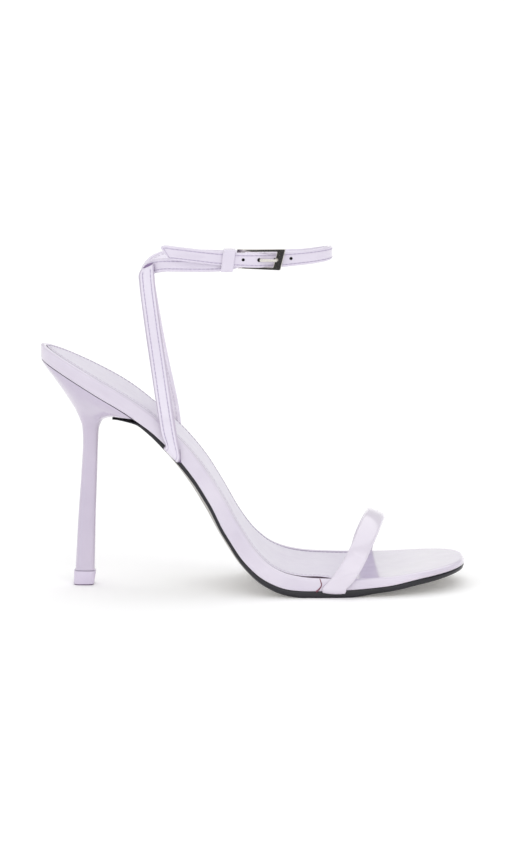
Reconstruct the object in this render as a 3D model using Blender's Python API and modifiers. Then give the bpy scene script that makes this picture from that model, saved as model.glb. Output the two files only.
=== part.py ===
"""Open-toe high-heeled sandal for the right foot, with a toe strap and crossed ankle straps.

+X runs to the toe, +Y to the inner side of the foot and +Z up, and the floor is Z = 0.
Sizes and tables are in millimetres, and the meshes are made in metres.
"""

import math

import bmesh
import bpy
import numpy as np
from mathutils import Matrix, Vector

MM = 0.001

# Driving sizes
LENGTH = 201.4
SEAT_HEIGHT = 116.4
BALL_WIDTH = 75.2
STRAP_WIDTH = 7.3
STRAP_THICKNESS = 1.9
TOE_STRAP_WIDTH = 9.2
TOE_STRAP_THICKNESS = 2.0
SEAM = 0.3
STRAP_EDGE_ROUND = 0.2
SHARP_ANGLE = math.radians(35)
BEVEL_ANGLE = math.radians(50)

# Footbed sections from the back of the heel to the tip of the toe.
# station is a share of LENGTH, height of SEAT_HEIGHT, lateral and medial half widths of BALL_WIDTH,
# and board and sole are thicknesses.
FOOTBED_COLUMNS = ("station", "height", "lateral", "medial", "board", "sole")
FOOTBED = (
    (0.00, 1.000, 0.326, 0.326, 7.2, 0.9),
    (0.07, 0.940, 0.326, 0.326, 7.2, 0.9),
    (0.14, 0.876, 0.326, 0.326, 7.2, 0.9),
    (0.21, 0.805, 0.319, 0.319, 7.2, 1.1),
    (0.28, 0.714, 0.297, 0.283, 7.0, 1.7),
    (0.34, 0.618, 0.312, 0.277, 7.2, 2.3),
    (0.39, 0.513, 0.332, 0.283, 7.2, 2.6),
    (0.43, 0.402, 0.332, 0.293, 7.2, 2.7),
    (0.47, 0.279, 0.346, 0.312, 7.2, 2.8),
    (0.51, 0.183, 0.432, 0.379, 7.1, 2.9),
    (0.55, 0.124, 0.483, 0.443, 6.9, 3.1),
    (0.59, 0.096, 0.500, 0.481, 6.7, 3.3),
    (0.64, 0.082, 0.500, 0.500, 6.3, 3.2),
    (0.72, 0.078, 0.492, 0.500, 5.5, 3.5),
    (0.81, 0.081, 0.471, 0.489, 4.6, 2.4),
    (0.90, 0.095, 0.452, 0.479, 3.4, 2.3),
    (1.00, 0.113, 0.439, 0.465, 2.8, 1.5),
)
LINE_SAMPLES = 400

# Rounding of the plan at both ends: share of LENGTH that is rounded, and the curve's exponent
HEEL_ROUND_SHARE = 0.187
HEEL_ROUND_POWER = 1.75
TOE_ROUND_SHARE = 0.197
TOE_ROUND_POWER = 2.2

# The wall of the rim stands upright round the heel and square to the footbed from the waist on
WALL_UPRIGHT_UNTIL = 0.20
WALL_SQUARE_FROM = 0.33

# Stations of the lofts: steps round each rounded end, and the spacing between them
END_STEPS = 8
END_START = math.radians(6)
STATION_SPACING = 6.5

# Rim of the footbed and the sock that lies inside it
RIM_FOOT_CHAMFER = 0.5
RIM_ROLL = 1.7
RIM_WIDTH = 3.0
RIM_INNER_SLOPE = 0.1
SOCK_THICKNESS = 1.1
SOCK_FRONT = 0.735
SOCK_RAMP = 0.02
SOCK_SHORT_OF_RAMP = 2.0
SOCK_LAST_STEP = 1.0

# Sole
SOLE_INSET = 0.3
SOLE_TONGUE_X = -67.0
SOLE_TONGUE_TOP = 82.25
SOLE_TONGUE_NARROWING = 0.40
SOLE_TONGUE_RUN = 12.0
SOLE_TONGUE_BLEND = 0.35
SOLE_EDGE_AT_WAIST = 1.25
SOLE_EDGE_SHARE = 0.6
SOLE_BEVEL_AT_WAIST = 3.2
SOLE_BEVEL_AT_BALL = 0.5
SOLE_WAIST_END = 0.50
SOLE_BALL_START = 0.60

# Heel sections from the foot of the stem to the cup under the seat.
# back and front are the section's ends in side view, width its half width, widest the share of its
# length from the back where it is widest, and the two rounds the exponents of its curved ends.
HEEL_COLUMNS = (
    "rise", "back_x", "back_z", "front_x", "front_z", "width", "widest", "back_round", "front_round",
)
HEEL = (
    (0.00, -84.3, 7.1, -75.0, 7.1, 4.8, 0.50, 3.6, 4.0),
    (0.20, -82.8, 35.0, -74.4, 35.0, 4.5, 0.50, 3.6, 4.0),
    (0.35, -81.5, 53.5, -73.8, 53.5, 4.4, 0.50, 3.6, 4.0),
    (0.48, -80.7, 69.5, -73.3, 69.5, 4.6, 0.50, 3.4, 4.0),
    (0.55, -81.0, 75.7, -73.0, 74.8, 5.3, 0.50, 3.0, 4.0),
    (0.64, -83.3, 82.7, -71.9, 78.6, 7.6, 0.52, 2.6, 4.0),
    (0.75, -87.8, 90.5, -69.6, 81.4, 12.5, 0.58, 2.3, 4.5),
    (0.88, -94.2, 99.8, -63.5, 83.0, 19.3, 0.70, 2.0, 6.0),
    (0.97, -99.2, 106.0, -57.0, 83.1, 23.4, 0.80, 1.8, 8.0),
    (1.00, -100.4, 107.7, -55.2, 82.9, 24.1, 0.82, 1.75, 9.0),
)
HEEL_LEVELS = 22
HEEL_LEVEL_SPREAD = 0.8
HEEL_SIDE_STEPS = 15
HEEL_RING_START = math.radians(5)

# Wear piece under the heel
LIFT_COLUMNS = ("height", "back_x", "front_x", "width")
LIFT = (
    (0.0, -84.7, -75.9, 4.6),
    (0.5, -85.1, -75.4, 5.1),
    (6.3, -84.9, -74.5, 5.2),
    (6.8, -84.6, -74.8, 4.9),
)
LIFT_ROUND = 5.0
LIFT_WIDEST = 0.5

# Toe strap: an arch from the lateral to the medial edge of the footbed
TOE_LATERAL_X = 41.2
TOE_MEDIAL_X = 52.3
TOE_ARCH_FOOT = 8.2
TOE_ARCH_HEIGHT = 24.3
TOE_ARCH_LEAN = 12.4
TOE_ARCH_LEAN_POWER = 0.85
TOE_WIDTH_AXIS = Vector((0.86, -0.15, -0.48)).normalized()
TOE_FOLD_AXIS = Vector((0.99, 0, -0.14)).normalized()
TOE_ARCH_STEPS = 20
TOE_RIM_PASSED = (-0.6, 0.6)
TOE_TURN_RISE = (0.05, 0.7)
TOE_TUCK = 5.5
PASSED_STEPS = 5
FOLD_STEPS = 5
FOLD_RADIUS = 1.5
POCKET_REACH = 4.0

# Ankle straps: two risers from the waist, and a loop round the ankle
RISER_STATION = 0.333
RISER_FOOT_WIDTH = 10.0
RISER_TUCK = 6.0
RISER_RIM_PASSED = (-1.2, 0.5)
RISER_COLUMNS = ("height", "x", "across")
RISER = (
    (76.5, -39.5, 24.6),
    (83.0, -40.5, 24.4),
    (100.0, -43.2, 21.3),
    (130.0, -47.7, 16.4),
    (148.0, -50.0, 12.7),
    (155.6, -50.6, 12.3),
)
RISER_STEPS = 12
RISER_LEAN = 0.12
RISER_TOP_SLANT = 0.40
MEDIAL_RISER_TOP = 150.0
MEDIAL_RISER_INWARD = 1.4

# The loop is measured by its angle from the back of the ankle, growing towards the inner side.
# outward is the distance of a strap's middle from the loop's own surface.
LOOP_CENTRE_X = -6.45
LOOP_HALF_LENGTH = 44.35
LOOP_HALF_WIDTH = 20.0
LOOP_POWER = 2.3
LOOP_STEP = 6.0
STRAP_COLUMNS = ("angle", "height", "outward", "width")
LONG_STRAP = (
    (-30.0, 147.2, 1.1, 7.3),
    (0.0, 148.9, 1.1, 7.3),
    (14.0, 150.6, 1.1, 7.3),
    (28.0, 153.4, 1.2, 7.3),
    (43.0, 154.9, 1.4, 7.3),
    (68.0, 154.5, 1.6, 7.3),
    (90.0, 154.0, 1.6, 7.3),
    (128.0, 155.3, 1.2, 7.4),
    (160.0, 158.6, 0.5, 7.5),
    (180.0, 160.6, 0.1, 7.5),
    (205.0, 161.3, 0.0, 7.5),
    (251.0, 160.8, 0.0, 7.3),
    (260.0, 160.9, 1.2, 7.1),
    (270.0, 161.3, 2.35, 6.9),
    (276.0, 161.8, 2.35, 6.8),
    (292.0, 162.5, 2.4, 6.7),
    (317.0, 163.3, 2.6, 6.7),
)
TAIL_SLANT = 0.55
BUCKLE_STRAP = (
    (-90.0, 160.8, 0.0, 7.0),
    (-84.0, 160.0, 0.0, 6.8),
    (-68.0, 158.5, 0.0, 6.6),
    (-43.0, 157.1, 0.0, 6.5),
    (-28.0, 155.4, 0.0, 6.7),
    (-14.0, 152.9, 0.0, 7.0),
    (0.0, 148.9, 0.0, 7.3),
    (14.0, 146.4, 0.0, 7.3),
    (30.0, 144.8, 0.0, 7.3),
)

# Buckle: frame in its own plane from the hinge bar, prong, and the keeper that holds the tail
HINGE_INWARD = 2.35
HINGE_FOLD_STEPS = 8
FRAME_HEIGHT = 160.8
FRAME_TURN = math.radians(12.5)
FRAME_THICKNESS = 1.6
FRAME_OUTER = ((-0.75, -4.85), (20.0, -4.85), (22.3, 4.85), (-0.75, 4.85))
FRAME_INNER = ((0.75, -3.95), (16.5, -3.95), (18.6, 3.95), (0.75, 3.95))
FRAME_CORNER = 0.6
CORNER_STEPS = 4
PRONG_RADIUS = 0.55
PRONG_HOLE_ANGLE = 260.0
PRONG_HOLE_RADIUS = 1.0
PRONG_HOLE_SEGMENTS = 16
PRONG_HOOK_RADIUS = 1.85
PRONG_TIP_X = 12.2
HINGE_SLOT_SIZE = (7.1, 7.0, 2.2)
HINGE_SLOT_SHIFT = Vector((0.2, 0.15, 0))
KEEPER_X = -12.1
KEEPER_WIDTH = 5.7
KEEPER_THICKNESS = 1.0
KEEPER_Y = (-24.05, -18.3)
KEEPER_Z = (155.7, 166.1)
KEEPER_CORNER = 1.0

# Colours from the photograph, as red, green and blue from 0 to 255
LILAC_RIM = (228, 221, 237)
LILAC_STRAP = (226, 219, 235)
LILAC_SOCK = (226, 222, 231)
LILAC_HEEL = (218, 210, 226)
SOLE_EDGE = (40, 38, 48)
SILVER = (200, 198, 196)


def material(name, colour, roughness, metallic=0.0):
    """A Principled material of a colour given from 0 to 255."""
    made = bpy.data.materials.new(name)
    made.use_nodes = True
    shader = made.node_tree.nodes["Principled BSDF"]
    linear = [((value / 255 + 0.055) / 1.055) ** 2.4 for value in colour]
    shader.inputs["Base Color"].default_value = (*linear, 1.0)
    shader.inputs["Roughness"].default_value = roughness
    shader.inputs["Metallic"].default_value = metallic
    made.diffuse_color = (*linear, 1.0)
    return made


def smooth(table, columns, name, at):
    """One column of a table at the given stations, on a monotone cubic through its rows."""
    rows = np.array(table)
    at = np.clip(np.asarray(at, float), rows[0, 0], rows[-1, 0])
    x = rows[:, 0]
    y = rows[:, columns.index(name)]
    step = np.diff(x)
    slope = np.diff(y) / step
    tangent = np.zeros(len(x))
    tangent[0] = slope[0]
    tangent[-1] = slope[-1]
    for i in range(1, len(x) - 1):
        if slope[i - 1] * slope[i] > 0:
            before = 2 * step[i] + step[i - 1]
            after = step[i] + 2 * step[i - 1]
            tangent[i] = (before + after) / (before / slope[i - 1] + after / slope[i])
    i = np.clip(np.searchsorted(x, at, side="right") - 1, 0, len(step) - 1)
    t = (at - x[i]) / step[i]
    return (
        y[i] * (1 + 2 * t) * (1 - t) ** 2
        + tangent[i] * step[i] * t * (1 - t) ** 2
        + y[i + 1] * t * t * (3 - 2 * t)
        + tangent[i + 1] * step[i] * t * t * (t - 1)
    )


def ease(value, low, high):
    """0 below low, 1 above high, and a smooth rise between them."""
    t = np.clip((np.asarray(value, float) - low) / (high - low), 0, 1)
    return t * t * (3 - 2 * t)


def rounded_end(distance, run, power):
    """Share of the full half width at a distance from a rounded end of the plan."""
    far = np.clip(1 - np.asarray(distance, float) / run, 0, 1)
    return (1 - far**power) ** (1 / power)


class Line:
    """A profile in the XZ plane with half widths, measured by the distance along it."""

    def __init__(self, x, z, share, lateral, medial, upright):
        self.x = x
        self.z = z
        self.share = share
        self.lateral = lateral
        self.medial = medial
        runs = np.hypot(np.diff(x), np.diff(z))
        self.along = np.concatenate(([0.0], np.cumsum(runs)))
        self.tangent_x = np.gradient(x, self.along)
        self.tangent_z = np.gradient(z, self.along)
        wall_x = -self.tangent_z * (1 - upright)
        wall_z = self.tangent_x * (1 - upright) + upright
        reach = -self.tangent_z * wall_x + self.tangent_x * wall_z
        self.wall_x = wall_x / reach
        self.wall_z = wall_z / reach

    def at(self, values, along):
        return np.interp(along, self.along, values)

    def points(self, along, across, depth):
        """Points at a distance along the profile, off its middle, and below it along the wall."""
        x = self.at(self.x, along) - depth * self.at(self.wall_x, along)
        z = self.at(self.z, along) - depth * self.at(self.wall_z, along)
        return np.column_stack((x, across, z))

    def stations(self, heel_run, toe_run):
        """Distances along the profile, closer together round its ends."""
        end = self.along[-1]
        turn = 1 - np.cos(np.linspace(END_START, math.pi / 2, END_STEPS))
        toe = end - toe_run * turn[::-1]
        heel = heel_run * turn if heel_run else np.zeros(1)
        count = math.ceil((toe[0] - heel[-1]) / STATION_SPACING)
        middle = np.linspace(heel[-1], toe[0], count + 1)[1:-1]
        return np.concatenate((heel, middle, toe))

    def outline(self, stations):
        """Closed plan: along the lateral side to the toe, and back along the medial side."""
        along = np.concatenate((stations, stations[::-1]))
        across = np.concatenate((-self.at(self.lateral, stations), self.at(self.medial, stations)[::-1]))
        return np.column_stack((along, across))


def inset(outline, distance):
    """The closed outline moved inwards along its own normals."""
    edge = np.roll(outline, -1, axis=0) - np.roll(outline, 1, axis=0)
    normal = np.column_stack((-edge[:, 1], edge[:, 0]))
    normal /= np.linalg.norm(normal, axis=1)[:, None]
    return outline + normal * np.broadcast_to(distance, len(outline))[:, None]


def half_widths(share):
    """Lateral and medial half widths of the footbed at shares of its length."""
    heel = rounded_end(share, HEEL_ROUND_SHARE, HEEL_ROUND_POWER)
    toe = rounded_end(1 - share, TOE_ROUND_SHARE, TOE_ROUND_POWER)
    lateral = smooth(FOOTBED, FOOTBED_COLUMNS, "lateral", share) * BALL_WIDTH
    medial = smooth(FOOTBED, FOOTBED_COLUMNS, "medial", share) * BALL_WIDTH
    return lateral * heel * toe, medial * heel * toe


def footbed_line():
    """Top of the footbed at the middle of the foot."""
    share = np.linspace(0, 1, LINE_SAMPLES)
    height = smooth(FOOTBED, FOOTBED_COLUMNS, "height", share) * SEAT_HEIGHT
    upright = 1 - ease(share, WALL_UPRIGHT_UNTIL, WALL_SQUARE_FROM)
    lateral, medial = half_widths(share)
    return Line((share - 0.5) * LENGTH, height, share, lateral, medial, upright)


def board_thickness(share):
    return smooth(FOOTBED, FOOTBED_COLUMNS, "board", share)


def board_underside(line):
    """Profile of the underside of the board, as x and z."""
    under = line.points(line.along, np.zeros(LINE_SAMPLES), board_thickness(line.share))
    return under[:, 0], under[:, 2]


def new_object(name, mesh, made_of, collection):
    obj = bpy.data.objects.new(name, mesh)
    if made_of:
        mesh.materials.append(made_of)
    collection.objects.link(obj)
    return obj


def loft(name, rings, made_of, collection):
    """A closed solid through rings whose lateral and medial points pair off from both ends."""
    count = len(rings[0])
    half = count // 2
    shape = bmesh.new()
    verts = [[shape.verts.new(Vector(point) * MM) for point in ring] for ring in rings]
    for low, high in zip(verts, verts[1:]):
        for i in range(count):
            j = (i + 1) % count
            shape.faces.new((low[i], low[j], high[j], high[i]))
    for ring in (verts[0], verts[-1]):
        for i in range(half - 1):
            shape.faces.new((ring[i], ring[i + 1], ring[count - 2 - i], ring[count - 1 - i]))
    bmesh.ops.recalc_face_normals(shape, faces=shape.faces)
    mesh = bpy.data.meshes.new(name)
    shape.to_mesh(mesh)
    shape.free()
    mesh.shade_smooth()
    mesh.set_sharp_from_angle(angle=SHARP_ANGLE)
    return new_object(name, mesh, made_of, collection)


def strap(name, path, thickness, made_of, collection, closed=False):
    """A strap of one thickness: an open sheet through (middle, half width vector) pairs."""
    shape = bmesh.new()
    rows = []
    for middle, across in path:
        low = shape.verts.new((middle - across) * MM)
        high = shape.verts.new((middle + across) * MM)
        rows.append((low, high))
    following = rows[1:] + rows[:1] if closed else rows[1:]
    for (low, high), (next_low, next_high) in zip(rows, following):
        shape.faces.new((low, next_low, next_high, high))
    bmesh.ops.recalc_face_normals(shape, faces=shape.faces)
    mesh = bpy.data.meshes.new(name)
    shape.to_mesh(mesh)
    shape.free()
    obj = new_object(name, mesh, made_of, collection)
    wall = obj.modifiers.new("wall", "SOLIDIFY")
    wall.thickness = thickness * MM
    wall.offset = 0
    wall.use_even_offset = True
    rim = obj.modifiers.new("rounded edges", "BEVEL")
    rim.width = STRAP_EDGE_ROUND * thickness * MM
    rim.segments = 1
    rim.limit_method = "ANGLE"
    rim.angle_limit = BEVEL_ANGLE
    mesh.shade_smooth()
    return obj


def box(name, size, matrix, collection):
    """A box of a size in millimetres, placed by a matrix whose position is in millimetres."""
    shape = bmesh.new()
    bmesh.ops.create_cube(shape, size=1, matrix=Matrix.Diagonal((*(Vector(size) * MM), 1)))
    mesh = bpy.data.meshes.new(name)
    shape.to_mesh(mesh)
    shape.free()
    obj = new_object(name, mesh, None, collection)
    placed = matrix.copy()
    placed.translation = matrix.translation * MM
    obj.matrix_world = placed
    return obj


def boolean(obj, other, operation):
    modifier = obj.modifiers.new(f"{operation.lower()} {other.name}", "BOOLEAN")
    modifier.operation = operation
    modifier.object = other


def axes_matrix(x_axis, y_axis, z_axis, position):
    matrix = Matrix((x_axis, y_axis, z_axis)).transposed().to_4x4()
    matrix.translation = position
    return matrix


def make_board(line, stations, made_of, collection):
    """Wrapped footbed board: rounded rim, and a recess inside it for the sock."""
    plan = line.outline(stations)
    share = line.at(line.share, plan[:, 0])
    thick = board_thickness(share)
    recess = (SOCK_THICKNESS + SEAM) * (1 - ease(share, SOCK_FRONT, SOCK_FRONT + SOCK_RAMP))
    roll_middle = RIM_ROLL * (1 - math.sqrt(0.5))
    levels = (
        (RIM_FOOT_CHAMFER, thick),
        (0.0, thick - RIM_FOOT_CHAMFER),
        (0.0, RIM_ROLL),
        (roll_middle, roll_middle),
        (RIM_ROLL, 0.0),
        (RIM_WIDTH, RIM_INNER_SLOPE),
        (RIM_WIDTH + RIM_INNER_SLOPE, np.maximum(recess, RIM_INNER_SLOPE)),
    )
    rings = []
    for distance, depth in levels:
        moved = inset(plan, distance)
        rings.append(line.points(moved[:, 0], moved[:, 1], depth))
    return loft("insole_board", rings, made_of, collection)


def make_sock(line, stations, made_of, collection):
    """Lining sheet inside the rim, from the heel to a cut end under the toe strap."""
    front = np.interp(SOCK_FRONT, line.share, line.along) - SOCK_SHORT_OF_RAMP
    moved = inset(line.outline(stations), RIM_WIDTH + RIM_INNER_SLOPE + SEAM)
    sides = []
    for side in (moved[: len(stations)], moved[len(stations) :][::-1]):
        kept = side[side[:, 0] < front - SOCK_LAST_STEP]
        sides.append(np.vstack((kept, (front, np.interp(front, side[:, 0], side[:, 1])))))
    plan = np.vstack((sides[0], sides[1][::-1]))
    rings = [line.points(plan[:, 0], plan[:, 1], depth) for depth in (SOCK_THICKNESS, 0.0)]
    return loft("sock", rings, made_of, collection)


def sole_line(line):
    """Top of the sole: under the board, and level under the heel's breast lip."""
    x, under = board_underside(line)
    board = (under - SEAM) / SOLE_TONGUE_BLEND
    tongue = SOLE_TONGUE_TOP / SOLE_TONGUE_BLEND
    lowered = -SOLE_TONGUE_BLEND * np.logaddexp(-board, -tongue)
    kept = x >= SOLE_TONGUE_X
    widening = ease(x[kept], SOLE_TONGUE_X, SOLE_TONGUE_X + SOLE_TONGUE_RUN)
    narrowing = 1 - SOLE_TONGUE_NARROWING * (1 - widening)
    lateral = line.lateral[kept] * narrowing
    medial = line.medial[kept] * narrowing
    return Line(x[kept], lowered[kept], line.share[kept], lateral, medial, np.zeros(kept.sum()))


def make_sole(line, toe_run, made_of, collection):
    """Thin sole with an upright painted edge, a bevelled waist and a flat tread at the ball."""
    top = sole_line(line)
    plan = top.outline(top.stations(0, toe_run))
    share = top.at(top.share, plan[:, 0])
    thick = smooth(FOOTBED, FOOTBED_COLUMNS, "sole", share)
    ball = ease(share, SOLE_WAIST_END, SOLE_BALL_START)
    bevel = SOLE_BEVEL_AT_WAIST * (1 - ball) + SOLE_BEVEL_AT_BALL * ball
    edge_at_waist = np.minimum(SOLE_EDGE_AT_WAIST, SOLE_EDGE_SHARE * thick)
    edge = edge_at_waist * (1 - ball) + (thick - SOLE_BEVEL_AT_BALL) * ball
    rings = []
    for distance, depth in ((SOLE_INSET, 0.0), (SOLE_INSET, edge), (SOLE_INSET + bevel, thick)):
        moved = inset(plan, distance)
        ring = top.points(moved[:, 0], moved[:, 1], depth)
        ring[:, 2] = np.maximum(ring[:, 2], 0)
        rings.append(ring)
    return loft("outsole", rings, made_of, collection)


def curved(values, power):
    """Values from -1 to 1 bent to the curve of a given exponent."""
    return np.sign(values) * np.abs(values) ** (2 / power)


def section_ring(back, front, width, widest, back_round, front_round):
    """Ring between a back and a front point, rounded differently at either end."""
    turn = np.linspace(HEEL_RING_START, math.pi - HEEL_RING_START, 2 * HEEL_SIDE_STEPS)
    behind = turn < math.pi / 2
    power = np.where(behind, back_round, front_round)
    reach = curved(-np.cos(turn), power)
    side = curved(np.sin(turn), power) * width
    share = widest + reach * np.where(behind, widest, 1 - widest)
    lateral = back + np.outer(share, front - back)
    medial = lateral.copy()
    lateral[:, 1] = -side
    medial[:, 1] = side
    return np.vstack((lateral, medial[::-1]))


def make_heel(line, made_of, collection):
    """Covered heel: a slender stem that flares into a cup under the seat."""
    under_x, under_z = board_underside(line)
    rings = []
    for rise in np.linspace(0, 1, HEEL_LEVELS) ** HEEL_LEVEL_SPREAD:
        row = {name: smooth(HEEL, HEEL_COLUMNS, name, rise) for name in HEEL_COLUMNS[1:]}
        back = np.array((row["back_x"], 0.0, row["back_z"]))
        front = np.array((row["front_x"], 0.0, row["front_z"]))
        ring = section_ring(
            back, front, row["width"], row["widest"], row["back_round"], row["front_round"]
        )
        ceiling = np.interp(ring[:, 0], under_x, under_z) - SEAM
        ring[:, 2] = ceiling if rise == 1 else np.minimum(ring[:, 2], ceiling - (1 - rise))
        rings.append(ring)
    return loft("heel_block", rings, made_of, collection)


def make_lift(made_of, collection):
    """Wear piece with a flat underside."""
    rings = []
    for values in LIFT:
        row = dict(zip(LIFT_COLUMNS, values))
        back = np.array((row["back_x"], 0.0, row["height"]))
        front = np.array((row["front_x"], 0.0, row["height"]))
        rings.append(section_ring(back, front, row["width"], LIFT_WIDEST, LIFT_ROUND, LIFT_ROUND))
    return loft("heel_top_lift", rings, made_of, collection)


def squared(across, direction, half_width):
    """A width vector made square to a strap's direction."""
    direction = direction.normalized()
    return (across - direction * across.dot(direction)).normalized() * half_width


def fold_under(foot, out, up, across, tuck):
    """Path of a strap end from its tuck under the edge, round a small fold, to its foot on the rim."""
    centre = foot - out * FOLD_RADIUS
    path = [(centre - up * FOLD_RADIUS - out * tuck, across)]
    for turn in np.linspace(0, math.pi / 2, FOLD_STEPS):
        path.append((centre + (out * math.sin(turn) - up * math.cos(turn)) * FOLD_RADIUS, across))
    return path


def pocket(name, foot, out, up, across, thickness, tuck, collection):
    """Cutter for the pocket that a tucked strap end lies in, open to the side."""
    inner = -(FOLD_RADIUS + tuck + SEAM)
    outer = POCKET_REACH
    middle = foot - up * FOLD_RADIUS + out * (inner + outer) / 2
    size = (2 * across.length + 2 * SEAM, outer - inner, thickness + 2 * SEAM)
    along = across.normalized()
    return box(name, size, axes_matrix(along, up.cross(along), up, middle), collection)


def toe_strap_feet(line):
    """Foot of the toe strap on either edge, with its outward direction."""
    feet = []
    for side, arch_x, half_width in ((-1, TOE_LATERAL_X, line.lateral), (1, TOE_MEDIAL_X, line.medial)):
        share = arch_x / LENGTH + 0.5
        passed = share + TOE_STRAP_WIDTH / LENGTH * np.linspace(*TOE_RIM_PASSED, PASSED_STEPS)
        edge = np.interp(passed, line.share, half_width).max()
        top = smooth(FOOTBED, FOOTBED_COLUMNS, "height", share) * SEAT_HEIGHT
        height = top - board_thickness(share) - SEAM / 2 + FOLD_RADIUS
        x = arch_x - (TOE_ARCH_FOOT - height) * TOE_ARCH_LEAN / TOE_ARCH_HEIGHT
        across = side * (edge + SEAM + TOE_STRAP_THICKNESS / 2)
        feet.append((Vector((x, across, height)), Vector((0, side, 0))))
    return feet


def make_toe_strap(line, made_of, collection, helpers):
    """Arched strap over the toes, and the pockets for its two ends."""
    (lateral, lateral_out), (medial, medial_out) = toe_strap_feet(line)
    half = TOE_STRAP_WIDTH / 2
    fold_across = TOE_FOLD_AXIS * half
    up = Vector((0, 1, 0)).cross(-TOE_FOLD_AXIS).normalized()
    middles = []
    for turn in np.linspace(0, math.pi, TOE_ARCH_STEPS):
        share = (1 - math.cos(turn)) / 2
        lean = TOE_ARCH_LEAN * max(math.sin(turn), 0) ** TOE_ARCH_LEAN_POWER
        x = TOE_LATERAL_X + (TOE_MEDIAL_X - TOE_LATERAL_X) * share + lean
        y = lateral.y + (medial.y - lateral.y) * share
        middles.append(Vector((x, y, TOE_ARCH_FOOT + TOE_ARCH_HEIGHT * math.sin(turn))))
    arch = []
    for i, middle in enumerate(middles):
        direction = middles[min(i + 1, len(middles) - 1)] - middles[max(i - 1, 0)]
        turned = float(ease((middle.z - TOE_ARCH_FOOT) / TOE_ARCH_HEIGHT, *TOE_TURN_RISE))
        axis = TOE_FOLD_AXIS.lerp(TOE_WIDTH_AXIS, turned)
        arch.append((middle, squared(axis, direction, half)))
    start = fold_under(lateral, lateral_out, up, fold_across, TOE_TUCK)
    end = fold_under(medial, medial_out, up, fold_across, TOE_TUCK)
    strap("toe_strap", start + arch + end[::-1], TOE_STRAP_THICKNESS, made_of, collection)
    pockets = []
    for name, foot, out in (("lateral", lateral, lateral_out), ("medial", medial, medial_out)):
        pockets.append(
            pocket(f"toe_pocket_{name}", foot, out, up, fold_across, TOE_STRAP_THICKNESS, TOE_TUCK, helpers)
        )
    return pockets


def make_riser(name, side, top, inward, line, helpers):
    """One riser from its tuck under the waist to the back of the ankle, and its pocket."""
    station = np.interp(RISER_STATION, line.share, line.along)
    along = Vector((line.at(line.tangent_x, station), 0, line.at(line.tangent_z, station)))
    up = Vector((-along.z, 0, along.x))
    passed = station + RISER_FOOT_WIDTH * np.linspace(*RISER_RIM_PASSED, PASSED_STEPS)
    edge = line.at(line.lateral if side < 0 else line.medial, passed).max()
    outward = edge + SEAM + STRAP_THICKNESS / 2
    depth = board_thickness(RISER_STATION) + SEAM / 2 - FOLD_RADIUS
    foot = Vector((line.at(line.x, station), side * outward, line.at(line.z, station))) - up * depth
    out = Vector((0, side, 0))
    across = along * RISER_FOOT_WIDTH / 2
    path = fold_under(foot, out, up, across, RISER_TUCK)
    heights = np.linspace(RISER[0][0], top, RISER_STEPS)
    xs = smooth(RISER, RISER_COLUMNS, "x", heights)
    offsets = smooth(RISER, RISER_COLUMNS, "across", heights)
    edge_shift = outward - RISER[0][2]
    for x, offset, height in zip(xs, offsets, heights):
        rise = (height - heights[0]) / (heights[-1] - heights[0])
        middle = Vector((x, side * (offset + edge_shift * (1 - rise) - inward * rise), height))
        slant = RISER_TOP_SLANT if height == heights[-1] else RISER_LEAN
        path.append((middle, Vector((1, 0, slant)) * STRAP_WIDTH / 2))
    riser = strap(f"riser_{name}", path, STRAP_THICKNESS, None, helpers)
    cutter = pocket(f"riser_pocket_{name}", foot, out, up, across, STRAP_THICKNESS, RISER_TUCK, helpers)
    return riser, cutter


def loop_point(angle, height, outward):
    """Point at an angle round the ankle loop, outward of its surface."""
    turn = math.radians(angle)
    u = curved(math.cos(turn), LOOP_POWER)
    v = curved(math.sin(turn), LOOP_POWER)
    x = LOOP_CENTRE_X - LOOP_HALF_LENGTH * u
    y = LOOP_HALF_WIDTH * v
    normal = Vector((
        -math.copysign(abs(u) ** (LOOP_POWER - 1), u) / LOOP_HALF_LENGTH,
        math.copysign(abs(v) ** (LOOP_POWER - 1), v) / LOOP_HALF_WIDTH,
        0,
    )).normalized()
    return Vector((x, y, height)) + normal * outward


def strap_middle(table, angle):
    """Middle of a loop strap at an angle round the ankle."""
    height = float(smooth(table, STRAP_COLUMNS, "height", angle))
    outward = float(smooth(table, STRAP_COLUMNS, "outward", angle))
    return loop_point(angle, height, outward)


def loop_path(table):
    """Path of a loop strap from its first angle to its last."""
    first = table[0][0]
    last = table[-1][0]
    path = []
    for angle in np.linspace(first, last, round((last - first) / LOOP_STEP) + 1):
        middle = strap_middle(table, angle)
        before = strap_middle(table, max(angle - 1, first))
        after = strap_middle(table, min(angle + 1, last))
        half = float(smooth(table, STRAP_COLUMNS, "width", angle)) / 2
        path.append((middle, squared(Vector((0, 0, 1)), after - before, half)))
    return path


def hinge_centre():
    """Middle of the buckle's hinge bar."""
    return loop_point(-90, FRAME_HEIGHT, -HINGE_INWARD)


def long_strap_path():
    """Long strap round the ankle, with its tail cut slanting."""
    path = loop_path(LONG_STRAP)
    middle, across = path[-1]
    direction = (middle - path[-2][0]).normalized()
    path[-1] = (middle, across + direction * TAIL_SLANT * across.length)
    return path


def buckle_strap_path():
    """Short strap from the back of the ankle, folded round the hinge bar."""
    path = loop_path(BUCKLE_STRAP)[::-1]
    end, across = path[-1]
    centre = hinge_centre()
    centre.z = end.z
    for turn in np.linspace(0, math.pi, HINGE_FOLD_STEPS)[1:]:
        reach = Vector((math.sin(turn), -math.cos(turn), 0)) * HINGE_INWARD
        path.append((centre + reach, across))
    return path


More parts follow.
